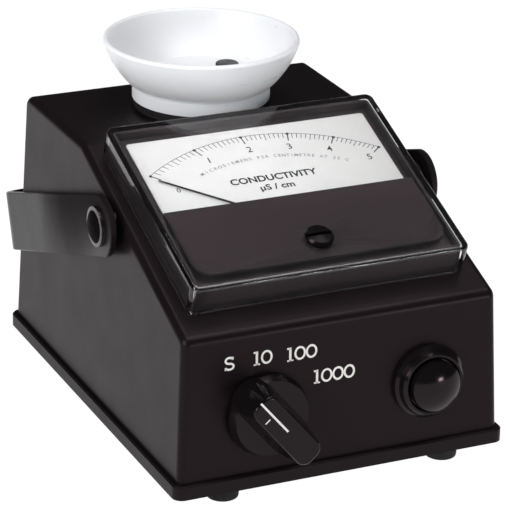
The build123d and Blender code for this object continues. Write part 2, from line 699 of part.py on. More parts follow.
# --- Hairsprings, and the arm that shifts the front one's outer end to set zero ---
SPRING_TURNS = 5
SPRING_START = 1.9
SPRING_STEP = 0.45


def spiral_face(plane):
    """Flat spiral of half circles about two centres a half step apart, as a thin ribbon."""
    with BuildSketch(plane) as ribbon:
        with BuildLine():
            for turn in range(SPRING_TURNS):
                radius = SPRING_START + turn * SPRING_STEP
                centre = 0 if turn % 2 == 0 else SPRING_STEP
                CenterArc((centre, 0), radius, 180 * (turn % 2), 180)
        trace(line_width=0.16)
    return ribbon.sketch


with BuildPart() as hairsprings:
    add(spiral_face(shifted(movement_plane, 0, 0, 0.25)))
    extrude(amount=0.4)
    add(spiral_face(shifted(movement_plane, 0, 0, COIL_LOW - 1.3)))
    extrude(amount=0.4)
hairsprings.part.label = "hairsprings"
export_step(hairsprings.part, "parts/hairsprings.step")

ARM_LOW = BRIDGE_LOW + BRIDGE_THICKNESS + 0.15
ARM_THICKNESS = 0.6
ZERO_PIN_RADIUS = 0.65
PIN_REACH = PIVOT_S - ZERO_S - ZERO_PIN_OFFSET
with BuildPart() as zero_arm:
    with BuildSketch(shifted(movement_plane, 0, 0, ARM_LOW)):
        Circle(2.9)
        with Locations((0, -(PIN_REACH + 1.6) / 2)):
            Rectangle(3.4, PIN_REACH + 1.6)
        with Locations((0, -PIN_REACH)):
            SlotOverall(4.4, 2 * (ZERO_PIN_RADIUS + 0.2), rotation=90, mode=Mode.SUBTRACT)
        Circle(1.5 + RUNNING, mode=Mode.SUBTRACT)
    extrude(amount=ARM_THICKNESS)
zero_arm.part.label = "zero_arm"
export_step(zero_arm.part, "parts/zero_arm.step")

with BuildPart() as zero_screw:
    with BuildSketch(side_view(zero_plane)):
        with BuildLine():
            Polyline(
                (0, METER_RISE + 1.5),
                (ZERO_RADIUS - 0.5, METER_RISE + 1.3),
                (ZERO_RADIUS, METER_RISE + 0.8),
                (ZERO_RADIUS, METER_RISE + 0.1),
                (2.0, METER_RISE + 0.1),
                (2.0, COVER_INSIDE - 0.1),
                (3.2, COVER_INSIDE - 0.1),
                (3.2, COVER_INSIDE - 0.9),
                (0, COVER_INSIDE - 0.9),
                close=True,
            )
        make_face()
    revolve(axis=spin(zero_plane))
    with BuildSketch(shifted(zero_plane, 0, 0, METER_RISE + 1.6)):
        Rectangle(2 * ZERO_RADIUS + 1, 1.2)
    extrude(amount=-1.0, mode=Mode.SUBTRACT)
    with BuildSketch(shifted(zero_plane, 0, ZERO_PIN_OFFSET, COVER_INSIDE - 0.9)):
        Circle(ZERO_PIN_RADIUS)
    extrude(amount=ARM_LOW - COVER_INSIDE + 0.9)
zero_screw.part.label = "zero_screw"
export_step(zero_screw.part, "parts/zero_screw.step")


# ============================== Range switch and knob ==============================

SHAFT_RADIUS = 3.0
NUT_THICKNESS = 2.0
SKIRT_LOW = 0.8
SKIRT_HIGH = 4.4
SWITCH_RADIUS = 13.0
SWITCH_DEPTH = 14.0
SWITCH_FRONT = -WALL - 0.4
SWITCH_WALL = 1.5
SET_SCREW_HEIGHT = 8.5
bar_narrowing = (BAR_FOOT_WIDTH - BAR_TOP_WIDTH) * (SET_SCREW_HEIGHT - SKIRT_LOW) / (KNOB_REACH - SKIRT_LOW)
set_screw_face = (BAR_FOOT_WIDTH - bar_narrowing) / 2
bar_plane = turned(knob_plane, KNOB_REST_ANGLE)
INLAY_WIDTH = 0.64
INLAY_DEPTH = 0.5
inlay_length = BAR_LENGTH / 2 - 0.2
set_screw_plane = Plane(
    origin=bar_plane.from_local_coords((0, 0, SET_SCREW_HEIGHT)),
    x_dir=bar_plane.x_dir,
    z_dir=bar_plane.y_dir,
)

with BuildPart() as range_knob:
    with BuildSketch(side_view(knob_plane)):
        with BuildLine():
            Polyline(
                (0, SKIRT_LOW), (KNOB_RADIUS, SKIRT_LOW), (KNOB_RADIUS, SKIRT_LOW + 1.2),
                (KNOB_RADIUS - 1.0, SKIRT_HIGH), (0, SKIRT_HIGH), close=True,
            )
        make_face()
    revolve(axis=spin(knob_plane))
    # raised grip bar, rounded at both ends and drawn in towards its narrow top
    with BuildSketch(shifted(bar_plane, 0, 0, SKIRT_LOW)) as bar_foot:
        Rectangle(BAR_LENGTH, BAR_FOOT_WIDTH)
        fillet(bar_foot.vertices(), 6.0)
    with BuildSketch(shifted(bar_plane, 0, 0, KNOB_REACH)) as bar_outline:
        Rectangle(BAR_LENGTH - 1, BAR_TOP_WIDTH)
        fillet(bar_outline.vertices(), 2.8)
    loft()
    bar_top = range_knob.faces().sort_by(spin(knob_plane))[-1]
    fillet(bar_top.edges(), 0.7)
    # recess for the panel nut, bore for the shaft, set-screw hole and pointer groove
    with BuildSketch(shifted(knob_plane, 0, 0, SKIRT_LOW)):
        Circle(8.6)
    extrude(amount=2.2, mode=Mode.SUBTRACT)
    with BuildSketch(knob_plane):
        Circle(SHAFT_RADIUS + SNUG)
    extrude(amount=11.5, mode=Mode.SUBTRACT)
    with BuildSketch(set_screw_plane):
        Circle(1.5)
    extrude(amount=BAR_FOOT_WIDTH, mode=Mode.SUBTRACT)
    with BuildSketch(shifted(bar_plane, inlay_length / 2, 0, KNOB_REACH)):
        Rectangle(inlay_length, INLAY_WIDTH)
    extrude(amount=-INLAY_DEPTH, mode=Mode.SUBTRACT)
range_knob.part.label = "range_knob"
export_step(range_knob.part, "parts/range_knob.step")

with BuildPart() as knob_pointer_line:
    with BuildSketch(shifted(bar_plane, inlay_length / 2 - 0.2, 0, KNOB_REACH - 0.02)):
        Rectangle(inlay_length - 0.4, INLAY_WIDTH - 0.04)
    extrude(amount=0.04 - INLAY_DEPTH)
knob_pointer_line.part.label = "knob_pointer_line"
export_step(knob_pointer_line.part, "parts/knob_pointer_line.step")

with BuildPart() as knob_set_screw:
    with BuildSketch(set_screw_plane.offset(SHAFT_RADIUS + 0.1)):
        Circle(SCREW_RADIUS)
    extrude(amount=set_screw_face - SHAFT_RADIUS - 0.6)
    with BuildSketch(set_screw_plane.offset(set_screw_face - 0.5)):
        RegularPolygon(radius=0.75, side_count=6)
    extrude(amount=-0.7, mode=Mode.SUBTRACT)
knob_set_screw.part.label = "knob_set_screw"
export_step(knob_set_screw.part, "parts/knob_set_screw.step")

with BuildPart() as switch_shaft:
    with BuildSketch(shifted(knob_plane, 0, 0, 11.3)):
        Circle(SHAFT_RADIUS)
    extrude(amount=SWITCH_FRONT - SWITCH_DEPTH + 2.2 - 11.3)
    chamfer(switch_shaft.edges(), 0.3)
switch_shaft.part.label = "switch_shaft"
export_step(switch_shaft.part, "parts/switch_shaft.step")

with BuildPart() as switch_bushing:
    with BuildSketch(side_view(knob_plane)):
        with BuildLine():
            Polyline(
                (SHAFT_RADIUS + RUNNING, NUT_THICKNESS + 0.8),
                (SWITCH_BUSHING_RADIUS, NUT_THICKNESS + 0.8),
                (SWITCH_BUSHING_RADIUS, SWITCH_FRONT + 0.05),
                (SHAFT_RADIUS + RUNNING, SWITCH_FRONT + 0.05),
                close=True,
            )
        make_face()
    revolve(axis=spin(knob_plane))
switch_bushing.part.label = "switch_bushing"
export_step(switch_bushing.part, "parts/switch_bushing.step")

with BuildPart() as switch_nut:
    with BuildSketch(shifted(knob_plane, 0, 0, 0.05)):
        RegularPolygon(radius=6.3, side_count=6, major_radius=False)
        Circle(SWITCH_BUSHING_RADIUS + SNUG, mode=Mode.SUBTRACT)
    extrude(amount=NUT_THICKNESS)
switch_nut.part.label = "switch_nut"
export_step(switch_nut.part, "parts/switch_nut.step")

with BuildPart() as switch_body:
    with BuildSketch(shifted(knob_plane, 0, 0, SWITCH_FRONT)):
        Circle(SWITCH_RADIUS)
    extrude(amount=-SWITCH_DEPTH)
    with BuildSketch(shifted(knob_plane, 0, 0, SWITCH_FRONT - SWITCH_WALL)):
        Circle(SWITCH_RADIUS - SWITCH_WALL)
    extrude(amount=2 * SWITCH_WALL - SWITCH_DEPTH, mode=Mode.SUBTRACT)
    with BuildSketch(shifted(knob_plane, 0, 0, SWITCH_FRONT)):
        Circle(SHAFT_RADIUS + RUNNING)
    extrude(amount=-SWITCH_WALL, mode=Mode.SUBTRACT)
    # ring of solder lugs on the back
    with BuildSketch(shifted(knob_plane, 0, 0, SWITCH_FRONT - SWITCH_DEPTH)):
        with PolarLocations(SWITCH_RADIUS - 2.4, 10):
            Rectangle(0.8, 2.4)
    extrude(amount=-4)
switch_body.part.label = "switch_body"
export_step(switch_body.part, "parts/switch_body.step")

with BuildPart() as switch_rotor:
    with BuildSketch(shifted(knob_plane, 0, 0, SWITCH_FRONT - 6)):
        Circle(8.0)
        with Locations((9.2, 0)):
            Rectangle(4.0, 3.0)
        Circle(SHAFT_RADIUS, mode=Mode.SUBTRACT)
    extrude(amount=-3)
switch_rotor.part.label = "switch_rotor"
export_step(switch_rotor.part, "parts/switch_rotor.step")


# ============================== Push button ==============================

COLLAR_HEIGHT = 4.6
CAP_RADIUS = 7.4
CAP_TOP = 8.6
CAP_SKIRT_LOW = 1.6
PLUNGER_RADIUS = 2.0
BUSHING_BORE = 4.6
BUTTON_SWITCH_FRONT = -15.0

with BuildPart() as button_collar:
    with BuildSketch(side_view(button_plane)):
        with BuildLine():
            Polyline(
                (CAP_RADIUS + 0.3, 0.05),
                (COLLAR_RADIUS, 0.05),
                (COLLAR_RADIUS, 1.6),
                (COLLAR_RADIUS - 0.9, 2.4),
                (COLLAR_RADIUS - 1.4, COLLAR_HEIGHT - 0.6),
                (COLLAR_RADIUS - 2.0, COLLAR_HEIGHT),
                (CAP_RADIUS + 1.0, COLLAR_HEIGHT),
                (CAP_RADIUS + 0.3, COLLAR_HEIGHT - 0.7),
                close=True,
            )
        make_face()
    revolve(axis=spin(button_plane))
button_collar.part.label = "button_collar"
export_step(button_collar.part, "parts/button_collar.step")

with BuildPart() as button_bushing:
    with BuildSketch(side_view(button_plane)):
        with BuildLine():
            Polyline(
                (PLUNGER_RADIUS + RUNNING, -12.0),
                (BUTTON_BUSHING_RADIUS, -12.0),
                (BUTTON_BUSHING_RADIUS, 0.05),
                (CAP_RADIUS + 0.25, 0.05),
                (CAP_RADIUS + 0.25, 0.8),
                (BUSHING_BORE, 0.8),
                (BUSHING_BORE, -10.0),
                (PLUNGER_RADIUS + RUNNING, -10.0),
                close=True,
            )
        make_face()
    revolve(axis=spin(button_plane))
button_bushing.part.label = "button_bushing"
export_step(button_bushing.part, "parts/button_bushing.step")

with BuildPart() as button_nut:
    with BuildSketch(shifted(button_plane, 0, 0, -WALL - 0.05)):
        RegularPolygon(radius=8.5, side_count=6, major_radius=False)
        Circle(BUTTON_BUSHING_RADIUS + SNUG, mode=Mode.SUBTRACT)
    extrude(amount=-2.5)
button_nut.part.label = "button_nut"
export_step(button_nut.part, "parts/button_nut.step")

with BuildPart() as button_cap:
    with BuildSketch(side_view(button_plane)):
        with BuildLine():
            dome = ThreePointArc(
                (0, CAP_TOP), (CAP_RADIUS * 0.6, CAP_TOP - 0.75), (CAP_RADIUS, CAP_TOP - 2.4)
            )
            Polyline(
                dome @ 1,
                (CAP_RADIUS, CAP_SKIRT_LOW + BUTTON_TRAVEL - 0.6),
                (BUSHING_BORE - 0.4, CAP_SKIRT_LOW + BUTTON_TRAVEL - 0.6),
                (BUSHING_BORE - 0.4, CAP_SKIRT_LOW - 1.0),
                (0, CAP_SKIRT_LOW - 1.0),
                dome @ 0,
            )
        make_face()
    revolve(axis=spin(button_plane))
button_cap.part.label = "button_cap"
export_step(button_cap.part, "parts/button_cap.step")

with BuildPart() as button_plunger:
    with BuildSketch(shifted(button_plane, 0, 0, CAP_SKIRT_LOW - 1.0)):
        Circle(PLUNGER_RADIUS)
    extrude(amount=BUTTON_SWITCH_FRONT + 0.6 - CAP_SKIRT_LOW + 1.0)
button_plunger.part.label = "button_plunger"
export_step(button_plunger.part, "parts/button_plunger.step")

with BuildPart() as button_spring:
    spring_length = CAP_SKIRT_LOW - 1.0 + 10.0
    with BuildLine() as spring_line:
        Helix(
            pitch=1.9,
            height=spring_length - 0.6,
            radius=3.3,
            center=button_plane.from_local_coords((0, 0, -9.7)),
            direction=button_plane.z_dir,
        )
    with BuildSketch(Plane(origin=spring_line.line @ 0, z_dir=spring_line.line % 0)):
        Circle(0.28)
    sweep(is_frenet=True)
button_spring.part.label = "button_spring"
export_step(button_spring.part, "parts/button_spring.step")

with BuildPart() as button_switch:
    with BuildSketch(shifted(button_plane, 0, 0, BUTTON_SWITCH_FRONT)):
        Rectangle(20, 7)
    extrude(amount=-10)
    with BuildSketch(shifted(button_plane, 0, 0, BUTTON_SWITCH_FRONT)):
        Circle(PLUNGER_RADIUS + 0.3)
    extrude(amount=-3.2, mode=Mode.SUBTRACT)
    with BuildSketch(shifted(button_plane, 0, 0, BUTTON_SWITCH_FRONT)):
        with Locations((-8, 0), (8, 0)):
            Rectangle(2, 6)
    extrude(amount=-12.0 - BUTTON_SWITCH_FRONT)
    with BuildSketch(shifted(button_plane, 0, 0, BUTTON_SWITCH_FRONT - 10)):
        with Locations((-7, 0), (0, 0), (7, 0)):
            Rectangle(0.6, 3)
    extrude(amount=-5)
button_switch.part.label = "button_switch"
export_step(button_switch.part, "parts/button_switch.step")


# ============================== Cell cup ==============================
# Heights in this section are measured up from the case's flat top.

CUP_WALL = 1.9
FLOOR_HIGH = 8.8            # inner floor of the bowl
FLOOR_THICKNESS = 2.2
FLOOR_RADIUS = 18.4
COLLAR_TOP = 6.6
COLLAR_GROOVE = 0.8
GASKET_THICKNESS = 2.6
NECK_DEPTH = 17.0
NECK_WALL = 2.0
ELECTRODE_RADIUS = 3.5
ELECTRODE_RISE = 0.9
ELECTRODE_SHANK = 1.2
ELECTRODE_CIRCLE = 12.6
ELECTRODE_ANGLE = 28.0      # direction of the first electrode from +X
SENSOR_SHANK = 1.5
electrode_spots = PolarLocations(ELECTRODE_CIRCLE, 3, start_angle=ELECTRODE_ANGLE)

with BuildPart() as cell_cup:
    with BuildSketch(side_view(cup_plane)):
        with BuildLine():
            bowl_outside = ThreePointArc(
                (CUP_COLLAR_RADIUS + 1.5, COLLAR_TOP + 1.4),
                (CUP_COLLAR_RADIUS + 5.7, COLLAR_TOP + 6.8),
                (CUP_RIM_RADIUS, CUP_RISE - 0.9),
            )
            rim = ThreePointArc(
                bowl_outside @ 1,
                (CUP_RIM_RADIUS - CUP_WALL / 2 + 0.1, CUP_RISE),
                (CUP_RIM_RADIUS - CUP_WALL, CUP_RISE - 0.8),
            )
            bowl_inside = ThreePointArc(
                rim @ 1,
                (FLOOR_RADIUS + 6.2, FLOOR_HIGH + 5.6),
                (FLOOR_RADIUS, FLOOR_HIGH),
            )
            Polyline(
                bowl_inside @ 1,
                (0, FLOOR_HIGH),
                (0, FLOOR_HIGH - FLOOR_THICKNESS),
                (CUP_NECK_RADIUS - NECK_WALL, FLOOR_HIGH - FLOOR_THICKNESS),
                (CUP_NECK_RADIUS - NECK_WALL, -NECK_DEPTH),
                (CUP_NECK_RADIUS, -NECK_DEPTH),
                (CUP_NECK_RADIUS, GASKET_THICKNESS),
                (CUP_COLLAR_RADIUS, GASKET_THICKNESS),
                (CUP_COLLAR_RADIUS, COLLAR_TOP),
                (CUP_COLLAR_RADIUS - COLLAR_GROOVE, COLLAR_TOP + 0.4),
                (CUP_COLLAR_RADIUS - COLLAR_GROOVE, COLLAR_TOP + 1.2),
                bowl_outside @ 0,
            )
        make_face()
    revolve(axis=spin(cup_plane))
    with BuildSketch(cup_plane.offset(FLOOR_HIGH)):
        with electrode_spots:
            Circle(ELECTRODE_SHANK + SNUG)
        Circle(SENSOR_SHANK + SNUG)
    extrude(amount=-FLOOR_THICKNESS, mode=Mode.SUBTRACT)
cell_cup.part.label = "cell_cup"
export_step(cell_cup.part, "parts/cell_cup.step")

with BuildPart() as cup_gasket:
    with BuildSketch(cup_plane):
        Circle(CUP_COLLAR_RADIUS - 0.4)
        Circle(CUP_NECK_RADIUS + 0.2, mode=Mode.SUBTRACT)
    extrude(amount=GASKET_THICKNESS)
cup_gasket.part.label = "cup_gasket"
export_step(cup_gasket.part, "parts/cup_gasket.step")

with BuildPart() as cup_nut:
    with BuildSketch(cup_plane.offset(-WALL - 0.05)):
        Circle(CUP_NECK_RADIUS + 3.2)
        Circle(CUP_NECK_RADIUS + SNUG, mode=Mode.SUBTRACT)
        with PolarLocations(CUP_NECK_RADIUS + 3.4, 8):
            Circle(1.2, mode=Mode.SUBTRACT)
    extrude(amount=-3.6)
cup_nut.part.label = "cup_nut"
export_step(cup_nut.part, "parts/cup_nut.step")

with BuildPart() as cell_electrodes:
    with BuildSketch(cup_plane.offset(FLOOR_HIGH)):
        with electrode_spots:
            Circle(ELECTRODE_RADIUS)
    extrude(amount=ELECTRODE_RISE)
    fillet(cell_electrodes.faces().group_by(Axis.Z)[-1].edges(), 0.4)
    with BuildSketch(cup_plane.offset(FLOOR_HIGH)):
        with electrode_spots:
            Circle(ELECTRODE_SHANK)
    extrude(amount=-8.0)
cell_electrodes.part.label = "cell_electrodes"
export_step(cell_electrodes.part, "parts/cell_electrodes.step")

with BuildPart() as temperature_sensor:
    with BuildSketch(side_view(cup_plane)):
        with BuildLine():
            sensor_dome = ThreePointArc((0, FLOOR_HIGH + 1.8), (1.9, FLOOR_HIGH + 1.1), (2.6, FLOOR_HIGH))
            Polyline(
                sensor_dome @ 1,
                (SENSOR_SHANK, FLOOR_HIGH),
                (SENSOR_SHANK, FLOOR_HIGH - 9.0),
                (0, FLOOR_HIGH - 9.0),
                sensor_dome @ 0,
            )
        make_face()
    revolve(axis=spin(cup_plane))
temperature_sensor.part.label = "temperature_sensor"
export_step(temperature_sensor.part, "parts/temperature_sensor.step")


# ============================== Electronics and battery ==============================

BOARD_WIDTH = 78.0
BOARD_DEPTH = 50.0
BOARD_THICKNESS = 1.6
STANDOFF_HEIGHT = 10.0
STANDOFF_INSET = 4.0
BOARD_Y = REAR_Y - 36.0
BOARD_Z = CASE_Z + STANDOFF_HEIGHT
BOARD_TOP = BOARD_Z + BOARD_THICKNESS
board_plane = Plane(origin=(0, BOARD_Y, BOARD_TOP))
board_corners = GridLocations(BOARD_WIDTH - 2 * STANDOFF_INSET, BOARD_DEPTH - 2 * STANDOFF_INSET, 2, 2)

with BuildPart() as standoffs:
    with BuildSketch(Plane(origin=(0, BOARD_Y, CASE_Z))):
        with board_corners:
            RegularPolygon(radius=2.75, side_count=6, major_radius=False)
            Circle(SCREW_RADIUS + SNUG, mode=Mode.SUBTRACT)
    extrude(amount=STANDOFF_HEIGHT)
standoffs.part.label = "standoffs"
export_step(standoffs.part, "parts/standoffs.step")

with BuildPart() as circuit_board:
    with BuildSketch(Plane(origin=(0, BOARD_Y, BOARD_Z))):
        Rectangle(BOARD_WIDTH, BOARD_DEPTH)
        with board_corners:
            Circle(SCREW_RADIUS + SNUG, mode=Mode.SUBTRACT)
    extrude(amount=BOARD_THICKNESS)
circuit_board.part.label = "circuit_board"
export_step(circuit_board.part, "parts/circuit_board.step")

CHIP_SPACING = 22.0
with BuildPart() as chips:
    with BuildSketch(board_plane.offset(1.0)):
        with GridLocations(CHIP_SPACING, 0, 2, 1):
            Rectangle(10.2, 6.4)
    extrude(amount=3.3)
    chamfer(chips.faces().group_by(Axis.Z)[-1].edges(), 0.3)
    with BuildSketch(board_plane):
        with GridLocations(CHIP_SPACING, 0, 2, 1):
            with GridLocations(2.54, 7.0, 4, 2):
                Rectangle(0.6, 0.8)
    extrude(amount=2.0)
chips.part.label = "chips"
export_step(chips.part, "parts/chips.step")

CAPACITOR_Y = 15.0
with BuildPart() as capacitors:
    with BuildSketch(board_plane):
        with Locations((-20, CAPACITOR_Y), (-8, CAPACITOR_Y), (4, CAPACITOR_Y)):
            Circle(4.0)
    extrude(amount=9.0)
    fillet(capacitors.faces().group_by(Axis.Z)[-1].edges(), 0.6)
capacitors.part.label = "capacitors"
export_step(capacitors.part, "parts/capacitors.step")

RESISTOR_Y = -14.0
with BuildPart() as resistors:
    for index in range(6):
        resistor_plane = Plane(
            origin=board_plane.from_local_coords((-25.0 + 7.0 * index, RESISTOR_Y, 1.3)), z_dir=(0, 1, 0)
        )
        with BuildSketch(resistor_plane):
            Circle(1.2)
        extrude(amount=3.2, both=True)
        with BuildSketch(resistor_plane):
            Circle(0.3)
        extrude(amount=5.2, both=True)
resistors.part.label = "resistors"
export_step(resistors.part, "parts/resistors.step")

TRIMMER_X = 26.0
TRIMMER_SPACING = 13.0
TRIMMER_Y = 12.0
TRIMMER_HEIGHT = 5.0
trimmer_planes = {
    "trimmer_rotor_low": shifted(board_plane, TRIMMER_X, TRIMMER_Y - TRIMMER_SPACING, TRIMMER_HEIGHT),
    "trimmer_rotor_high": shifted(board_plane, TRIMMER_X, TRIMMER_Y, TRIMMER_HEIGHT),
}

with BuildPart() as trimmers:
    for trimmer_plane in trimmer_planes.values():
        with BuildSketch(trimmer_plane):
            Rectangle(9.5, 9.5)
        extrude(amount=-TRIMMER_HEIGHT)
        with BuildSketch(trimmer_plane):
            Circle(3.0 + RUNNING)
        extrude(amount=-3.0, mode=Mode.SUBTRACT)
trimmers.part.label = "trimmers"
export_step(trimmers.part, "parts/trimmers.step")

for rotor_name, rotor_plane in trimmer_planes.items():
    with BuildPart() as trimmer_rotor:
        with BuildSketch(rotor_plane.offset(0.5)):
            Circle(3.0)
        extrude(amount=-3.4)
        with BuildSketch(rotor_plane.offset(0.5)):
            Rectangle(0.8, 6.4)
        extrude(amount=-1.0, mode=Mode.SUBTRACT)
    trimmer_rotor.part.label = rotor_name
    export_step(trimmer_rotor.part, f"parts/{rotor_name}.step")

BATTERY_LENGTH = 46.0
BATTERY_WIDTH = 26.0
BATTERY_HEIGHT = 17.0
BATTERY_Y = FRONT_Y + 45.0
BATTERY_Z = CASE_Z + 0.1
CLIP_THICKNESS = 1.0
CLIP_WIDTH = 14.0
battery_end = Plane(
    origin=(BATTERY_LENGTH / 2 - 4, BATTERY_Y, BATTERY_Z + BATTERY_HEIGHT / 2),
    x_dir=(0, 1, 0),
    z_dir=(1, 0, 0),
)

with BuildPart() as battery:
    with BuildSketch(battery_end):
        RectangleRounded(BATTERY_WIDTH, BATTERY_HEIGHT, 2.0)
    extrude(amount=-BATTERY_LENGTH)
    with BuildSketch(battery_end):
        with Locations((-6.35, 0), (6.35, 0)):
            Circle(2.8)
    extrude(amount=2.6)
battery.part.label = "battery"
export_step(battery.part, "parts/battery.step")

with BuildPart() as battery_snap:
    with BuildSketch(battery_end.offset(0.1)):
        RectangleRounded(BATTERY_WIDTH - 2, 11.0, 2.0)
        with Locations((-6.35, 0), (6.35, 0)):
            Circle(2.8 + SNUG, mode=Mode.SUBTRACT)
    extrude(amount=2.9)
    with BuildSketch(battery_end.offset(3.0)):
        RectangleRounded(BATTERY_WIDTH - 2, 11.0, 2.0)
    extrude(amount=1.2)
battery_snap.part.label = "battery_snap"
export_step(battery_snap.part, "parts/battery_snap.step")

clip_plane = Plane(origin=(-BATTERY_LENGTH / 2, BATTERY_Y, CASE_Z), x_dir=(0, 1, 0), z_dir=(1, 0, 0))
clip_half = BATTERY_WIDTH / 2 + 0.2
clip_top = BATTERY_HEIGHT + 0.3
clip_face = Plane(origin=(-BATTERY_LENGTH / 2 + 12.0 + CLIP_WIDTH / 2, BATTERY_Y, CASE_Z + CLIP_THICKNESS))
clip_spots = GridLocations(0, 2 * (clip_half + CLIP_THICKNESS + 4.5), 1, 2)

with BuildPart() as battery_clip:
    with BuildSketch(clip_plane.offset(12.0)):
        with BuildLine():
            Polyline(
                (-clip_half - 10, 0),
                (-clip_half, 0),
                (-clip_half, clip_top),
                (clip_half, clip_top),
                (clip_half, 0),
                (clip_half + 10, 0),
                (clip_half + 10, CLIP_THICKNESS),
                (clip_half + CLIP_THICKNESS, CLIP_THICKNESS),
                (clip_half + CLIP_THICKNESS, clip_top + CLIP_THICKNESS),
                (-clip_half - CLIP_THICKNESS, clip_top + CLIP_THICKNESS),
                (-clip_half - CLIP_THICKNESS, CLIP_THICKNESS),
                (-clip_half - 10, CLIP_THICKNESS),
                close=True,
            )
        make_face()
    extrude(amount=CLIP_WIDTH)
    with BuildSketch(clip_face):
        with clip_spots:
            Circle(SCREW_RADIUS + SNUG)
    extrude(amount=-CLIP_THICKNESS, mode=Mode.SUBTRACT)
battery_clip.part.label = "battery_clip"
export_step(battery_clip.part, "parts/battery_clip.step")

with BuildPart() as pan_screws:
    with BuildSketch(board_plane):
        with board_corners:
            Circle(2.7)
    with BuildSketch(clip_face):
        with clip_spots:
            Circle(2.7)
    extrude(amount=1.8)
    chamfer(pan_screws.faces().filter_by(Axis.Z).group_by(Axis.Z)[-1].edges(), 0.3)
    with BuildSketch(board_plane.offset(1.8)):
        with board_corners:
            Rectangle(5.6, 0.7)
    with BuildSketch(clip_face.offset(1.8)):
        with clip_spots:
            Rectangle(5.6, 0.7)
    extrude(amount=-0.8, mode=Mode.SUBTRACT)
    with BuildSketch(board_plane):
        with board_corners:
            Circle(SCREW_RADIUS)
    extrude(amount=-6.0)
    with BuildSketch(clip_face):
        with clip_spots:
            Circle(SCREW_RADIUS)
    extrude(amount=-CLIP_THICKNESS)
pan_screws.part.label = "pan_screws"
export_step(pan_screws.part, "parts/pan_screws.step")


# ============================== Carrying strap ==============================

strap_outside = STRAP_GAP + STRAP_THICKNESS
STUD_SHOULDER_RADIUS = 2.2
STUD_FLANGE_RADIUS = 5.9
STUD_FLANGE_THICKNESS = 1.3
STUD_HEAD_RADIUS = 4.7
STUD_HEAD_HEIGHT = 2.5
ARM_LEAD = 1.0              # from the hinge to the centre of an arm's round end
strap_end = STRAP_WIDTH / 2 + ARM_LEAD

with BuildPart() as carrying_strap:
    # the band seen square to its arms: two arms and a back with rounded corners
    with BuildSketch(strap_plane) as band:
        with Locations((0, (STRAP_LENGTH - strap_end) / 2)):
            Rectangle(2 * strap_outside, STRAP_LENGTH + strap_end)
        fillet(band.vertices().group_by(Axis.Y)[-1], STRAP_CORNER)
        with BuildSketch(mode=Mode.SUBTRACT) as gap:
            with Locations((0, (STRAP_LENGTH - strap_end) / 2 - STRAP_THICKNESS)):
                Rectangle(2 * STRAP_GAP, STRAP_LENGTH + strap_end)
            fillet(gap.vertices().group_by(Axis.Y)[-1], STRAP_CORNER - STRAP_THICKNESS)
    extrude(amount=STRAP_WIDTH / 2, both=True)
    # rounded arm ends, and the holes that turn on the studs
    with BuildSketch(strap_side_plane):
        with Locations((-ARM_LEAD, 0)):
            Circle(STRAP_WIDTH / 2)
        with Locations((STRAP_LENGTH / 2, 0)):
            Rectangle(STRAP_LENGTH + 2.0, STRAP_WIDTH)
    extrude(amount=CASE_WIDTH, both=True, mode=Mode.INTERSECT)
    with BuildSketch(hinge_plane):
        Circle(STUD_SHOULDER_RADIUS + RUNNING)
    extrude(amount=CASE_WIDTH, both=True, mode=Mode.SUBTRACT)
    long_edges = carrying_strap.edges().filter_by(lambda edge: edge.length > 40)
    chamfer(long_edges, STRAP_CHAMFER)
carrying_strap.part.label = "carrying_strap"
export_step(carrying_strap.part, "parts/carrying_strap.step")

with BuildPart() as strap_studs:
    for side in (-1, 1):
        stud_plane = Plane(origin=hinge_plane.origin, x_dir=(0, 1, 0), z_dir=(side, 0, 0))
        with BuildSketch(side_view(stud_plane)):
            with BuildLine():
                stud_head = ThreePointArc(
                    (0, strap_outside + STUD_HEAD_HEIGHT),
                    (STUD_HEAD_RADIUS * 0.6, strap_outside + STUD_HEAD_HEIGHT - 0.25),
                    (STUD_HEAD_RADIUS, strap_outside + STUD_HEAD_HEIGHT * 0.55),
                )
                Polyline(
                    stud_head @ 1,
                    (STUD_HEAD_RADIUS, strap_outside + STUD_FLANGE_THICKNESS),
                    (STUD_FLANGE_RADIUS, strap_outside + STUD_FLANGE_THICKNESS - 0.15),
                    (STUD_FLANGE_RADIUS, strap_outside + RUNNING),
                    (STUD_SHOULDER_RADIUS, strap_outside + RUNNING),
                    (STUD_SHOULDER_RADIUS, STUD_BOSS_FACE + 0.02),
                    (STUD_THREAD_RADIUS, STUD_BOSS_FACE + 0.02),
                    (STUD_THREAD_RADIUS, STUD_BOSS_FACE - STUD_BOSS_LENGTH + 2.5),
                    (0, STUD_BOSS_FACE - STUD_BOSS_LENGTH + 2.5),
                    stud_head @ 0,
                )
            make_face()
        revolve(axis=spin(stud_plane))
strap_studs.part.label = "strap_studs"
export_step(strap_studs.part, "parts/strap_studs.step")

with BuildPart() as strap_washers:
    for side in (-1, 1):
        with BuildSketch(hinge_plane.offset(side * (STUD_BOSS_FACE + 0.02))):
            Circle(5.2)
            Circle(STUD_SHOULDER_RADIUS + RUNNING, mode=Mode.SUBTRACT)
        extrude(amount=side * (STRAP_GAP - STUD_BOSS_FACE - 0.08))
strap_washers.part.label = "strap_washers"
export_step(strap_washers.part, "parts/strap_washers.step")
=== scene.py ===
import json
import math

import bmesh
import bpy
from mathutils import Matrix, Vector


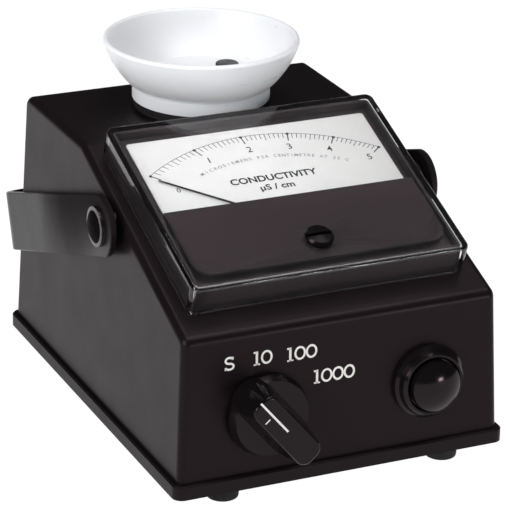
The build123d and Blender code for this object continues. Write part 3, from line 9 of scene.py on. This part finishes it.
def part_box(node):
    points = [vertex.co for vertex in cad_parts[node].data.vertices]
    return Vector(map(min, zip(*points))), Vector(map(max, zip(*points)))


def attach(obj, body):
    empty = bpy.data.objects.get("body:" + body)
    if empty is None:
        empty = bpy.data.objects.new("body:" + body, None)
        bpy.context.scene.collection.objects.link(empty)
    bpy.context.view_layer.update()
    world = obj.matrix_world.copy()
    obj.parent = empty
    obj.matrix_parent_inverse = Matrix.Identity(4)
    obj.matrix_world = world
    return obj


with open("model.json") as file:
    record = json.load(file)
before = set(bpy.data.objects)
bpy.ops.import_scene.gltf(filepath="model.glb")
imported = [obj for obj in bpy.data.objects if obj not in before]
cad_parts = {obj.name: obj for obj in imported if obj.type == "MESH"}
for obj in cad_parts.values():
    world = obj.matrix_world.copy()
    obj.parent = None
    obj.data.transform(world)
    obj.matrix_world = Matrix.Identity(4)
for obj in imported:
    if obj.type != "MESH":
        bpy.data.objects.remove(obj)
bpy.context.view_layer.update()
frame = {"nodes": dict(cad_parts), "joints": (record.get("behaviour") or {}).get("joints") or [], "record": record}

MM = 0.001
nodes = frame["nodes"]
joints = {joint["name"]: joint for joint in frame["joints"]}
case_low, case_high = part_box("case")
base_low, base_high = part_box("base_plate")

# Driving dimensions, in millimetres.
PIVOT_X, PIVOT_S = 0.6, 31.0            # needle's pivot on the meter's slope
KNOB_X, KNOB_H = -23.5, 17.3            # range knob's centre on the front face
KNOB_REACH = 14.6                       # top of the knob's grip bar above the front face
KNOB_ANGLE = math.radians(130.0)        # direction of the grip bar at rest
DIAL_TOP = 5.5                          # printed face of the dial above the slope
DIAL_SHADE = 38.0                       # from the pivot to where the painted shade on the dial is darkest
MASK_EDGE = 39.0                        # from the pivot to the painted border of the mask
CUP_GREY, CUP_WHITE = 10.0, 26.0        # heights above the case that the cup's colour goes between: painted shade, grey below, white above
STUD_BARE_RADIUS = 4.8                  # inside of the stud's worn flange
STRAP_TILT = math.radians(19.0)
STRAP_HALF_WIDTH = 9.0

# The part's own planes, read from the joints: the meter's slope and the front face.
X_AXIS = Vector((1, 0, 0))
Z_AXIS = Vector((0, 0, 1))
slope_normal = -Vector(joints["needle_sweep"]["axis"]).normalized()
slope_up = slope_normal.cross(X_AXIS).normalized()
slope_pivot = Vector(joints["needle_sweep"]["pos_m"])
front_normal = -Vector(joints["range_switch"]["axis"]).normalized()
front_up = front_normal.cross(X_AXIS).normalized()
knob_centre = Vector(joints["range_switch"]["pos_m"])


def slope_frame(x, s, out):
    """Matrix of a point on the meter's slope, millimetres across, up the slope and out of it."""
    offset = X_AXIS * (x - PIVOT_X) + slope_up * (s - PIVOT_S) + slope_normal * out
    axes = Matrix((X_AXIS, slope_up, slope_normal)).transposed().to_4x4()
    return Matrix.Translation(slope_pivot + offset * MM) @ axes


def front_frame(x, h, out):
    """Matrix of a point on the front face, millimetres across, up the face and out of it."""
    offset = X_AXIS * (x - KNOB_X) + front_up * (h - KNOB_H) + front_normal * out
    axes = Matrix((X_AXIS, front_up, front_normal)).transposed().to_4x4()
    return Matrix.Translation(knob_centre + offset * MM) @ axes


# ---------------------------------------------------------------- materials


def linear(hex_colour):
    """Linear RGBA of an sRGB hex colour."""
    channels = [int(hex_colour[i : i + 2], 16) / 255 for i in (0, 2, 4)]
    return tuple(c / 12.92 if c <= 0.04045 else ((c + 0.055) / 1.055) ** 2.4 for c in channels) + (1.0,)


WARM = (1.0, 0.76, 0.83, 1.0)           # reflections of the black plastics lean to red
NEUTRAL = (1.0, 1.0, 1.0, 1.0)


class Look:
    """A node material built round one Principled shader, in object coordinates in metres."""

    def __init__(self, name, rough=0.5, metallic=0.0, specular=0.5, tint=NEUTRAL):
        self.material = bpy.data.materials.new(name)
        self.material.use_nodes = True
        self.tree = self.material.node_tree
        self.shader = self.tree.nodes["Principled BSDF"]
        self.output = self.tree.nodes["Material Output"]
        self.shader.inputs["Roughness"].default_value = rough
        self.shader.inputs["Metallic"].default_value = metallic
        self.shader.inputs["Specular IOR Level"].default_value = specular
        self.shader.inputs["Specular Tint"].default_value = tint
        self.coords = self.tree.nodes.new("ShaderNodeTexCoord").outputs["Object"]
        self.normal = None

    def node(self, kind, **values):
        """New node; each value sets a property of that name, or else the input of that name."""
        made = self.tree.nodes.new(kind)
        for key, value in values.items():
            if hasattr(made, key):
                setattr(made, key, value)
            else:
                made.inputs[key.replace("_", " ")].default_value = value
        return made

    def link(self, source, target):
        self.tree.links.new(source, target)

    def stretched(self, scale):
        """Object coordinates scaled along each axis."""
        mapping = self.node("ShaderNodeMapping")
        mapping.inputs["Scale"].default_value = scale
        self.link(self.coords, mapping.inputs["Vector"])
        return mapping.outputs["Vector"]

    def noise(self, size, detail=4.0, stretch=None, rough=0.55):
        """Noise with features of about the given size in metres."""
        made = self.node("ShaderNodeTexNoise", Scale=1.0 / size, Detail=detail, Roughness=rough)
        self.link(self.stretched(stretch) if stretch else self.coords, made.inputs["Vector"])
        return made.outputs["Fac"]

    def span(self, value, low, high, from_low=0.3, from_high=0.7):
        """Value mapped from one range to another and held at its ends."""
        made = self.node("ShaderNodeMapRange")
        made.inputs["From Min"].default_value = from_low
        made.inputs["From Max"].default_value = from_high
        made.inputs["To Min"].default_value = low
        made.inputs["To Max"].default_value = high
        self.link(value, made.inputs["Value"])
        return made.outputs["Result"]

    def mix(self, factor, first, second):
        """Colour that goes from the first to the second as the factor goes from 0 to 1."""
        made = self.node("ShaderNodeMix")
        made.data_type = "RGBA"
        self.link(factor, made.inputs["Factor"])
        for value, socket in ((first, made.inputs["A"]), (second, made.inputs["B"])):
            if isinstance(value, tuple):
                socket.default_value = value
            else:
                self.link(value, socket)
        return made.outputs["Result"]

    def weigh(self, factor, first, second):
        """Number that goes from the first to the second as the factor goes from 0 to 1."""
        made = self.node("ShaderNodeMix")
        made.data_type = "FLOAT"
        self.link(factor, made.inputs[0])
        for value, socket in ((first, made.inputs[2]), (second, made.inputs[3])):
            if isinstance(value, float):
                socket.default_value = value
            else:
                self.link(value, socket)
        return made.outputs[0]

    def colour(self, value):
        self.link(value, self.shader.inputs["Base Color"])

    def roughness(self, value):
        self.link(value, self.shader.inputs["Roughness"])

    def bump(self, height, depth, strength=1.0):
        """Adds a bump of the given depth in metres for a height from 0 to 1."""
        made = self.node("ShaderNodeBump", Distance=depth, Strength=strength)
        self.link(height, made.inputs["Height"])
        if self.normal:
            self.link(self.normal, made.inputs["Normal"])
        self.normal = made.outputs["Normal"]
        self.link(self.normal, self.shader.inputs["Normal"])


def moulded(name, dark, light, rough, grain=0.0005, depth=0.000012, specular=0.5, spread=0.03):
    """Moulded plastic: fine surface texture, slow colour drift, handling sheen and faint scratches."""
    look = Look(name, rough, specular=specular, tint=WARM)
    drift = look.span(look.noise(0.05, 2.0), 0.0, 0.35)
    specks = look.span(look.noise(grain * 1.6, 2.0), 0.0, 0.4, 0.55, 0.8)
    tone = look.mix(drift, linear(dark), linear(light))
    look.colour(look.mix(specks, tone, linear(light)))
    sheen = look.noise(0.012, 5.0)
    look.roughness(look.span(sheen, rough - spread, rough + spread))
    look.bump(look.noise(grain, 3.0), depth)
    look.bump(look.noise(0.0035, 4.0, stretch=(1.0, 14.0, 14.0)), depth * 0.5)
    return look.material


def metal(name, dark, light, rough, brushed=(1.0, 30.0, 30.0), metallic=1.0):
    """Turned or brushed metal with fine lines, dulled patches and small dents."""
    look = Look(name, rough, metallic)
    tarnish = look.span(look.noise(0.002, 5.0), 0.0, 1.0)
    look.colour(look.mix(tarnish, linear(dark), linear(light)))
    look.roughness(look.span(look.noise(0.0015, 4.0, stretch=brushed), rough * 0.7, min(1.0, rough * 1.5)))
    look.bump(look.noise(0.0006, 3.0, stretch=brushed), 0.000008)
    return look.material


def rubber(name, dark, light):
    """Matt rubber with fine pitting."""
    look = Look(name, 0.75, specular=0.3)
    look.colour(look.mix(look.span(look.noise(0.002, 4.0), 0.0, 1.0), linear(dark), linear(light)))
    look.roughness(look.span(look.noise(0.003, 4.0), 0.62, 0.88))
    look.bump(look.noise(0.00035, 2.0), 0.00002)
    return look.material


def dial_paper(name):
    """White dial: matt paint with faint mottling, and painted shade darkening it towards its right-hand end."""
    look = Look(name, 0.55, specular=0.35)
    mottle = look.span(look.noise(0.004, 5.0), 0.0, 1.0)
    paint = look.mix(mottle, linear("d4cfcd"), linear("dbd6d4"))
    # painted shade: the dial's colour darkens from the pivot towards its right-hand end
    painted_right_shade = look.span(along_axis(look, slope_pivot, X_AXIS, MM), 0.0, 1.0, 0.0, DIAL_SHADE)
    look.colour(look.mix(painted_right_shade, paint, linear("bfbab8")))
    look.roughness(look.span(look.noise(0.002, 3.0), 0.5, 0.65))
    look.bump(look.noise(0.0004, 2.0), 0.000006)
    return look.material


def ink(name, dark, light, rough=0.6):
    """Printed or painted line: slightly uneven colour and sheen."""
    look = Look(name, rough, specular=0.3)
    look.colour(look.mix(look.span(look.noise(0.0006, 3.0), 0.0, 1.0), linear(dark), linear(light)))
    look.roughness(look.span(look.noise(0.001, 3.0), rough - 0.08, rough + 0.08))
    look.bump(look.noise(0.0003, 2.0), 0.000008)
    return look.material


def cup_plastic(name):
    """White moulded cup: soft subsurface glow, faint stains, painted shade greying its lower part, wipe marks."""
    look = Look(name, 0.35, specular=0.5)
    look.shader.inputs["Subsurface Weight"].default_value = 0.15
    look.shader.inputs["Subsurface Radius"].default_value = (0.004, 0.003, 0.0025)
    look.shader.inputs["Subsurface Scale"].default_value = 0.6
    stain = look.span(look.noise(0.014, 5.0), 0.0, 0.5, 0.45, 0.8)
    paint = look.mix(stain, linear("f6f7fb"), linear("eff0f3"))
    height = along_axis(look, Vector((0, 0, case_high.z)), Z_AXIS, MM)
    # painted shade: the cup's colour greys towards its lower part, near the case
    painted_low_shade = look.span(height, 1.0, 0.0, CUP_GREY, CUP_WHITE)
    look.colour(look.mix(painted_low_shade, paint, linear("f1f2f5")))
    look.roughness(look.span(look.noise(0.008, 5.0, stretch=(1.0, 1.0, 5.0)), 0.27, 0.45))
    look.bump(look.noise(0.0009, 3.0), 0.00001)
    look.bump(look.noise(0.02, 2.0), 0.00012)
    return look.material


def clear_acrylic(name):
    """Clear acrylic with a few fine scratches and smudges; lamps pass straight through it."""
    look = Look(name, 0.03)
    look.shader.inputs["Transmission Weight"].default_value = 1.0
    look.shader.inputs["IOR"].default_value = 1.49
    look.shader.inputs["Base Color"].default_value = (0.93, 0.95, 0.955, 1.0)
    smudge = look.span(look.noise(0.01, 5.0), 0.015, 0.07)
    look.roughness(smudge)
    look.bump(look.noise(0.0018, 4.0, stretch=(1.0, 9.0, 9.0)), 0.0000004)
    path = look.node("ShaderNodeLightPath")
    clear = look.node("ShaderNodeBsdfTransparent")
    clear.inputs["Color"].default_value = (0.9, 0.92, 0.93, 1.0)
    blend = look.node("ShaderNodeMixShader")
    look.link(path.outputs["Is Shadow Ray"], blend.inputs["Fac"])
    look.link(look.shader.outputs["BSDF"], blend.inputs[1])
    look.link(clear.outputs["BSDF"], blend.inputs[2])
    look.link(blend.outputs["Shader"], look.output.inputs["Surface"])
    return look.material


def circuit(name):
    """Green solder mask over copper tracks."""
    look = Look(name, 0.35)
    grid = look.node("ShaderNodeTexBrick", Scale=180.0)
    grid.inputs["Color1"].default_value = linear("17452a")
    grid.inputs["Color2"].default_value = linear("1d5434")
    grid.inputs["Mortar"].default_value = linear("2f6b42")
    grid.inputs["Mortar Size"].default_value = 0.03
    look.link(look.coords, grid.inputs["Vector"])
    look.colour(grid.outputs["Color"])
    look.roughness(look.span(look.noise(0.004, 4.0), 0.25, 0.45))
    look.bump(grid.outputs["Fac"], 0.00002)
    return look.material


def along_axis(look, middle, direction, unit):
    """Signed distance from a point along a direction, counted in the unit given in metres."""
    offset = look.node("ShaderNodeVectorMath", operation="SUBTRACT")
    look.link(look.coords, offset.inputs[0])
    offset.inputs[1].default_value = middle
    along = look.node("ShaderNodeVectorMath", operation="DOT_PRODUCT")
    look.link(offset.outputs["Vector"], along.inputs[0])
    along.inputs[1].default_value = direction / unit
    return along.outputs["Value"]


def from_axis(look, middle):
    """Distance from an axis that runs along X, in metres."""
    offset = look.node("ShaderNodeVectorMath", operation="SUBTRACT")
    look.link(look.coords, offset.inputs[0])
    offset.inputs[1].default_value = middle
    flat = look.node("ShaderNodeVectorMath", operation="MULTIPLY")
    look.link(offset.outputs["Vector"], flat.inputs[0])
    flat.inputs[1].default_value = (0, 1, 1)
    length = look.node("ShaderNodeVectorMath", operation="LENGTH")
    look.link(flat.outputs["Vector"], length.inputs[0])
    return length.outputs["Value"]


def strap_plastic(name):
    """Black moulded strap: polished by hands near its lower edge and its corners, dull elsewhere, with painted
    shade darkening its colour towards the upper edge.
    """
    look = Look(name, 0.3, specular=0.15, tint=WARM)
    hinge = Vector(joints["strap_swing"]["pos_m"])
    up = Vector((0, math.sin(STRAP_TILT), math.cos(STRAP_TILT)))
    rearward = Vector((0, math.cos(STRAP_TILT), -math.sin(STRAP_TILT)))
    height = along_axis(look, hinge, up, STRAP_HALF_WIDTH * MM)
    reach = along_axis(look, hinge, rearward, MM)
    dulled = look.span(height, 0.0, 1.0, -0.9, 0.75)
    tone = look.mix(look.span(look.noise(0.04, 3.0), 0.0, 0.6), linear("131112"), linear("1b1919"))
    # painted shade: the strap's colour darkens towards its upper edge, along the same mask as its dull roughness
    look.colour(look.mix(dulled, tone, linear("0d0b0c")))
    lower_edge = look.span(reach, 0.26, 0.5, 3.0, 18.0)
    corner = look.span(reach, 0.0, 1.0, 28.0, 52.0)
    worn = look.weigh(corner, look.weigh(dulled, lower_edge, 0.85), 0.27)
    grain = look.span(look.noise(0.008, 4.0), -0.03, 0.03)
    finish = look.node("ShaderNodeMath", operation="ADD")
    look.link(worn, finish.inputs[0])
    look.link(grain, finish.inputs[1])
    look.roughness(finish.outputs["Value"])
    look.bump(look.noise(0.0005, 3.0), 0.00001)
    return look.material


def stud_steel(name):
    """Blackened strap stud: dull dark dome inside a flange worn back to bare metal."""
    look = Look(name, 0.3)
    hinge = Vector(joints["strap_swing"]["pos_m"])
    inside, outside = (STUD_BARE_RADIUS - 0.05) * MM, (STUD_BARE_RADIUS + 0.05) * MM
    rim = look.span(from_axis(look, hinge), 0.0, 1.0, inside, outside)
    patches = look.noise(0.0015, 4.0)
    worn = look.mix(look.span(patches, 0.0, 0.6), linear("4a4647"), linear("7c7778"))
    look.colour(look.mix(rim, linear("080707"), worn))
    look.roughness(look.weigh(rim, look.span(patches, 0.55, 0.7), look.span(patches, 0.22, 0.36)))
    look.link(rim, look.shader.inputs["Metallic"])
    look.link(look.weigh(rim, 0.03, 0.3), look.shader.inputs["Specular IOR Level"])
    look.bump(look.noise(0.0008, 3.0), 0.000006)
    return look.material


def mask_plastic(name):
    """Grey-brown meter mask, with its surround painted darker towards the cover's side walls."""
    look = Look(name, 0.5, specular=0.3, tint=WARM)
    tone = look.mix(look.span(look.noise(0.05, 2.0), 0.0, 0.35), linear("272122"), linear("2f292a"))
    across = along_axis(look, slope_pivot, X_AXIS, MM)
    outward = look.node("ShaderNodeMath", operation="ABSOLUTE")
    look.link(across, outward.inputs[0])
    border = look.span(outward.outputs["Value"], 0.0, 1.0, MASK_EDGE - 0.4, MASK_EDGE + 0.4)
    look.colour(look.mix(border, tone, linear("171415")))
    look.roughness(look.span(look.noise(0.012, 5.0), 0.46, 0.54))
    look.bump(look.noise(0.0005, 3.0), 0.00001)
    return look.material


LOOKS = {
    "case_black": moulded("case_plastic", "120d0e", "181314", 0.36, specular=0.12),
    "base_black": moulded("base_plastic", "130f10", "1a1516", 0.42, specular=0.12),
    "gloss_black": moulded(
        "knob_plastic", "0c0b0b", "141213", 0.16, depth=0.000003, specular=0.21, spread=0.04
    ),
    "strap_black": strap_plastic("strap_plastic"),
    "meter_black": moulded("meter_back_plastic", "1b191a", "252223", 0.35, specular=0.3),
    "mask_grey": mask_plastic("mask_plastic"),
    "rubber_black": rubber("foot_rubber", "131111", "1e1b1b"),
    "dial_white": dial_paper("dial_paint"),
    "cup_white": cup_plastic("cup_plastic"),
    "clear_acrylic": clear_acrylic("cover_acrylic"),
    "needle_black": ink("needle_paint", "0d0b0b", "1a1717", 0.4),
    "print_white": ink("pointer_filler", "e6e3df", "f4f2ef"),
    "coil_copper": metal("coil_wire", "8a4a26", "b8703c", 0.35),
    "movement_alloy": metal("bridge_metal", "8c8c8e", "b4b4b6", 0.32),
    "movement_iron": metal("yoke_iron", "4a4a4c", "6a6a6c", 0.45),
    "spring_bronze": metal("hairspring_bronze", "8a6234", "bb8a4c", 0.3),
    "electrode_steel": metal("electrode_metal", "3a3a3c", "5a5a5c", 0.4),
    "screw_steel": metal("plated_steel", "8e8c8a", "b9b7b4", 0.28),
    "stud_dark": stud_steel("blackened_steel"),
    "fitting_brass": metal("turned_brass", "8f6d35", "c09a55", 0.3),
    "switch_phenolic": moulded("phenolic", "2c180f", "3d2316", 0.45),
    "circuit_green": circuit("circuit_board_mask"),
    "chip_black": moulded("chip_epoxy", "17181a", "222325", 0.5),
    "can_aluminium": metal("capacitor_sleeve", "3d4f78", "556a95", 0.35, metallic=0.4),
    "resistor_tan": moulded("resistor_lacquer", "a8875c", "c4a377", 0.3),
    "trimmer_blue": moulded("trimmer_plastic", "1b3f7c", "2a559b", 0.35),
    "battery_label": moulded("battery_wrap", "20242c", "39414f", 0.3),
}

slot_of = {part["node"]: part["material_slot"] for part in frame["record"]["subparts"]}
for node_name, node in nodes.items():
    node.data.materials.clear()
    node.data.materials.append(LOOKS[slot_of[node_name]])


# ---------------------------------------------------------------- geometry helpers


def finish_mesh(name, mesh_maker, material, body):
    """Turns a bmesh into an object that rides on a body."""
    mesh = bpy.data.meshes.new(name)
    mesh_maker.normal_update()
    mesh_maker.to_mesh(mesh)
    mesh_maker.free()
    piece = bpy.data.objects.new(name, mesh)
    bpy.context.scene.collection.objects.link(piece)
    mesh.materials.append(material)
    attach(piece, body)


def slab(maker, place, outline, height):
    """Adds a flat prism to a bmesh: an outline in millimetres on a plane, raised by height."""
    low = [maker.verts.new(place @ Vector((x * MM, y * MM, 0))) for x, y in outline]
    high = [maker.verts.new(place @ Vector((x * MM, y * MM, height * MM))) for x, y in outline]
    maker.faces.new(high)
    maker.faces.new(list(reversed(low)))
    for i in range(len(low)):
        j = (i + 1) % len(low)
        maker.faces.new((low[i], low[j], high[j], high[i]))


def ribbon(points, width):
    """Outline of a line of even width along points, in millimetres."""
    left, right = [], []
    for i, point in enumerate(points):
        before = Vector(points[max(i - 1, 0)])
        after = Vector(points[min(i + 1, len(points) - 1)])
        along = (after - before).normalized()
        across = Vector((-along.y, along.x)) * width / 2
        left.append(tuple(Vector(point) + across))
        right.append(tuple(Vector(point) - across))
    return left + right[::-1]


def arc(cx, cy, rx, ry, start, end, steps):
    """Points on an arc of an ellipse, degrees."""
    made = []
    for i in range(steps + 1):
        angle = math.radians(start + (end - start) * i / steps)
        made.append((cx + rx * math.cos(angle), cy + ry * math.sin(angle)))
    return made


def line_slab(maker, place, points, width, height):
    """Adds an open line as quads, so that curved ones stay clean."""
    outline = ribbon(points, width)
    count = len(points)
    for i in range(count - 1):
        quad = [outline[i], outline[i + 1], outline[2 * count - 2 - i], outline[2 * count - 1 - i]]
        slab(maker, place, quad[::-1], height)


# ---------------------------------------------------------------- camera, floor, light

AZIMUTH, ELEVATION, ROLL = math.radians(-24.65), math.radians(22.14), math.radians(1.04)
DISTANCE = 0.8336                       # metres from the point looked at
LENS, SENSOR = 201.26, 36.0
AIM_X = -4.87                           # point looked at, in millimetres from the centre plane,
AIM_DEPTH = 50.0                        # behind the case's lowest front edge
AIM_HEIGHT = 47.0                       # and above the base plate
FLOOR_REACH = 6.0                       # half the floor's width, in metres


def add_camera():
    """Camera at the photograph's angle, with its slight roll."""
    target = Vector((AIM_X * MM, case_low.y + AIM_DEPTH * MM, base_low.z + AIM_HEIGHT * MM))
    level = math.cos(ELEVATION)
    back = Vector((math.sin(AZIMUTH) * level, -math.cos(AZIMUTH) * level, math.sin(ELEVATION)))
    level_right = (-back).cross(Z_AXIS).normalized()
    level_up = level_right.cross(-back).normalized()
    right = math.cos(ROLL) * level_right + math.sin(ROLL) * level_up
    up = -math.sin(ROLL) * level_right + math.cos(ROLL) * level_up
    data = bpy.data.cameras.new("camera")
    data.lens = LENS
    data.sensor_width = SENSOR
    data.clip_end = 50.0
    camera = bpy.data.objects.new("camera", data)
    axes = Matrix((right, up, back)).transposed().to_4x4()
    camera.matrix_world = Matrix.Translation(target + back * DISTANCE) @ axes
    bpy.context.scene.collection.objects.link(camera)
    bpy.context.scene.camera = camera


def add_floor():
    """Plain bright paper that runs out into the background."""
    maker = bmesh.new()
    bmesh.ops.create_grid(maker, x_segments=2, y_segments=2, size=FLOOR_REACH)
    mesh = bpy.data.meshes.new("floor")
    maker.to_mesh(mesh)
    maker.free()
    floor = bpy.data.objects.new("floor", mesh)
    bpy.context.scene.collection.objects.link(floor)
    look = Look("floor_paper", 0.8, specular=0.05)
    look.colour(look.mix(look.noise(0.2, 2.0), (0.05, 0.05, 0.05, 1), (0.07, 0.07, 0.07, 1)))
    look.shader.inputs["Emission Color"].default_value = NEUTRAL
    look.shader.inputs["Emission Strength"].default_value = 1.0
    mesh.materials.append(look.material)


def add_world():
    """Very dim white surroundings, so that the black plastics stay black."""
    world = bpy.data.worlds.new("studio")
    world.use_nodes = True
    background = world.node_tree.nodes["Background"]
    background.inputs["Color"].default_value = NEUTRAL
    background.inputs["Strength"].default_value = 0.05
    bpy.context.scene.world = world


def lamp(name, place, aim_height, size, power):
    """Rectangular lamp aimed at a height above the floor's middle: metres, power in watts."""
    data = bpy.data.lights.new(name, "AREA")
    data.shape = "RECTANGLE"
    data.size, data.size_y = size
    data.energy = power
    made = bpy.data.objects.new(name, data)
    made.location = place
    towards = Vector((0, 0, aim_height)) - Vector(place)
    made.rotation_euler = towards.to_track_quat("-Z", "Y").to_euler()
    bpy.context.scene.collection.objects.link(made)


add_camera()
add_floor()
add_world()
lamp("key", (-1.4, -0.5, 0.8), 0.05, (1.0, 0.8), 19.0)
lamp("overhead", (0.3, -0.1, 1.8), 0.0, (1.3, 1.1), 20.5)
lamp("fill", (0.75, -1.54, 0.16), 0.05, (0.3, 0.16), 5.0)

bpy.context.scene.view_settings.view_transform = "Standard"
bpy.context.scene.view_settings.look = "None"

# ---------------------------------------------------------------- dial printing

PRINT = 0.02                            # thickness of all printing
INK = ink("dial_ink", "161313", "2a2626")
SOFT_INK = ink("dial_ink_fine", "6f6a69", "8a8583")

ARC_X, ARC_S, ARC_RADIUS = -0.4, 10.4, 61.4     # the scale's flat arc on the slope
ARC_STEPS = 20                          # pieces of the arc's line to a unit
SCALE_END = 5                           # highest reading
DIVISIONS = 10                          # ticks to a unit
UNIT_TICK, HALF_TICK, SHORT_TICK = 3.3, 2.7, 2.1
UNIT_LINE, TICK_LINE, ARC_LINE = 0.34, 0.2, 0.16
DOT_RADIUS = 0.5
NUMBER_DEPTH = 6.0                      # from the arc in to the middle of a number
FINE_DEPTH = 9.9                        # and in to the line of small letters
FINE_START, FINE_SPAN = 0.55, 4.0       # readings that the line of small letters spans
FINE_WORDS = "MICROSIEMENS PER CENTIMETRE AT 25 C"


def scale_angle(value):
    """Needle direction for a reading, degrees to the left of straight up; it slows a little upscale."""
    return 50.98 - 24.46 * value + 0.783 * value * value


def arc_point(value, inwards=0.0):
    """Point on the scale's flat arc that the needle points at, millimetres on the slope."""
    angle = math.radians(scale_angle(value))
    ahead = Vector((-math.sin(angle), math.cos(angle)))
    offset = Vector((PIVOT_X - ARC_X, PIVOT_S - ARC_S))
    behind = offset.dot(ahead)
    reach = -behind + math.sqrt(behind**2 + ARC_RADIUS**2 - offset.length_squared)
    return Vector((PIVOT_X, PIVOT_S)) + ahead * (reach - inwards)


def dial_scale():
    """The arc, its ticks, and a dot on it at each unit."""
    face = slope_frame(0, 0, DIAL_TOP)
    maker = bmesh.new()
    for step in range(SCALE_END * DIVISIONS + 1):
        value = step / DIVISIONS
        length, width = SHORT_TICK, TICK_LINE
        if step % DIVISIONS == 0:
            length, width = UNIT_TICK, UNIT_LINE
        elif step % DIVISIONS == DIVISIONS / 2:
            length = HALF_TICK
        line_slab(maker, face, [arc_point(value, length), arc_point(value)], width, PRINT)
    line = [arc_point(i / ARC_STEPS) for i in range(SCALE_END * ARC_STEPS + 1)]
    line_slab(maker, face, line, ARC_LINE, PRINT)
    for value in range(SCALE_END + 1):
        centre = arc_point(value, 0.2)
        slab(maker, face, arc(centre.x, centre.y, DOT_RADIUS, DOT_RADIUS, 0, 345, 23), PRINT * 1.5)
    finish_mesh("dial_scale", maker, INK, "body")


def dial_text(name, words, spot, size, material=INK, turn=0.0, stretch=1.0, bold=0.02):
    """Flat raised lettering on the dial, as a mesh, centred on a point of the slope."""
    curve = bpy.data.curves.new(name, "FONT")
    curve.body = words
    curve.size = size * MM
    curve.align_x, curve.align_y = "CENTER", "CENTER"
    curve.extrude = PRINT * MM / 2
    curve.offset = bold * MM
    curve.resolution_u = 4
    text = bpy.data.objects.new(name + "_text", curve)
    bpy.context.scene.collection.objects.link(text)
    bpy.context.view_layer.update()
    mesh = bpy.data.meshes.new_from_object(text)
    bpy.data.objects.remove(text)
    place = slope_frame(spot[0], spot[1], DIAL_TOP + PRINT) @ Matrix.Rotation(turn, 4, "Z")
    mesh.transform(Matrix.Diagonal((stretch, 1.0, 1.0, 1.0)))
    mesh.transform(place)
    mesh.materials.clear()
    mesh.materials.append(material)
    piece = bpy.data.objects.new(name, mesh)
    bpy.context.scene.collection.objects.link(piece)
    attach(piece, "body")


dial_scale()
for value in range(1, SCALE_END + 1):
    dial_text(f"dial_number_{value}", str(value), arc_point(value, NUMBER_DEPTH), 3.4)
# the 0 stands below the arc's end, clear of the needle
dial_text("dial_number_0", "0", arc_point(0, NUMBER_DEPTH + 1.0) + Vector((0.5, -3.2)), 2.6)
dial_text("dial_caption", "CONDUCTIVITY", (-0.3, 52.9), 3.5, stretch=1.05, bold=0.1)
dial_text("dial_unit", "µS / cm", (-0.7, 49.0), 3.3, stretch=1.1, bold=0.08)
for index, letter in enumerate(FINE_WORDS):
    if letter != " ":
        value = FINE_START + FINE_SPAN * index / (len(FINE_WORDS) - 1)
        lean = math.radians(scale_angle(value)) * 0.75
        dial_text(f"dial_fine_{index}", letter, arc_point(value, FINE_DEPTH), 1.7, SOFT_INK, lean)

# ---------------------------------------------------------------- front legends

WHITE_PRINT = LOOKS["print_white"]
LIFT = 0.005                            # gap between printing and the face below it
LETTER_HEIGHT = 4.1
STROKE = 0.62
SERIF_REACH = 0.95


def numeral_one(maker, place):
    """Slab-serif 1: stem, foot and flag."""
    top, foot = LETTER_HEIGHT / 2, -LETTER_HEIGHT / 2
    line_slab(maker, place, [(0, foot), (0, top)], STROKE * 1.15, PRINT)
    line_slab(maker, place, [(-SERIF_REACH, foot + 0.22), (SERIF_REACH, foot + 0.22)], 0.45, PRINT)
    line_slab(maker, place, [(-SERIF_REACH, top - 0.3), (0.1, top - 0.3)], 0.55, PRINT)


def numeral_zero(maker, place):
    """Round 0."""
    line_slab(maker, place, arc(0, 0, 1.45, LETTER_HEIGHT / 2 - STROKE / 2, 0, 360, 40), STROKE, PRINT)


def letter_s(maker, place):
    """S from two arcs and end serifs."""
    r = (LETTER_HEIGHT - STROKE) / 4
    upper = arc(0, r, 1.15, r, 15, 270, 20)
    lower = arc(0, -r, 1.25, r, 90, -165, 20)
    line_slab(maker, place, upper + lower[1:], STROKE, PRINT)
    line_slab(maker, place, [(1.1, 2 * r + 0.2), (1.1, r + 0.2)], 0.4, PRINT)
    line_slab(maker, place, [(-1.2, -2 * r - 0.2), (-1.2, -r - 0.2)], 0.4, PRINT)


# each letter's function and the width that it takes up in a line
GLYPHS = {"S": (letter_s, 3.2), "1": (numeral_one, 2.5), "0": (numeral_zero, 3.5)}


def legend(name, words, x, h):
    """A legend of the range switch, centred on a point of the front face."""
    left = x - sum(GLYPHS[letter][1] for letter in words) / 2
    maker = bmesh.new()
    for letter in words:
        draw, width = GLYPHS[letter]
        draw(maker, front_frame(left + width / 2, h, LIFT))
        left += width
    finish_mesh(name, maker, WHITE_PRINT, "body")


def knob_index():
    """Painted highlight: a short bright mark on the knob's grip bar, beside the pointer line, standing in for a
    glint.
    """
    bar_top = front_frame(KNOB_X, KNOB_H, KNOB_REACH + LIFT) @ Matrix.Rotation(KNOB_ANGLE, 4, "Z")
    maker = bmesh.new()
    line_slab(maker, bar_top, [(7.0, 1.2), (7.0, 3.0)], 0.34, PRINT)
    finish_mesh("knob_index", maker, WHITE_PRINT, "knob")


legend("legend_s", "S", -34.6, 33.8)
legend("legend_10", "10", -24.6, 34.0)
legend("legend_100", "100", -12.7, 33.5)
legend("legend_1000", "1000", -2.7, 25.5)
# painted highlight on the knob's grip bar
knob_index()
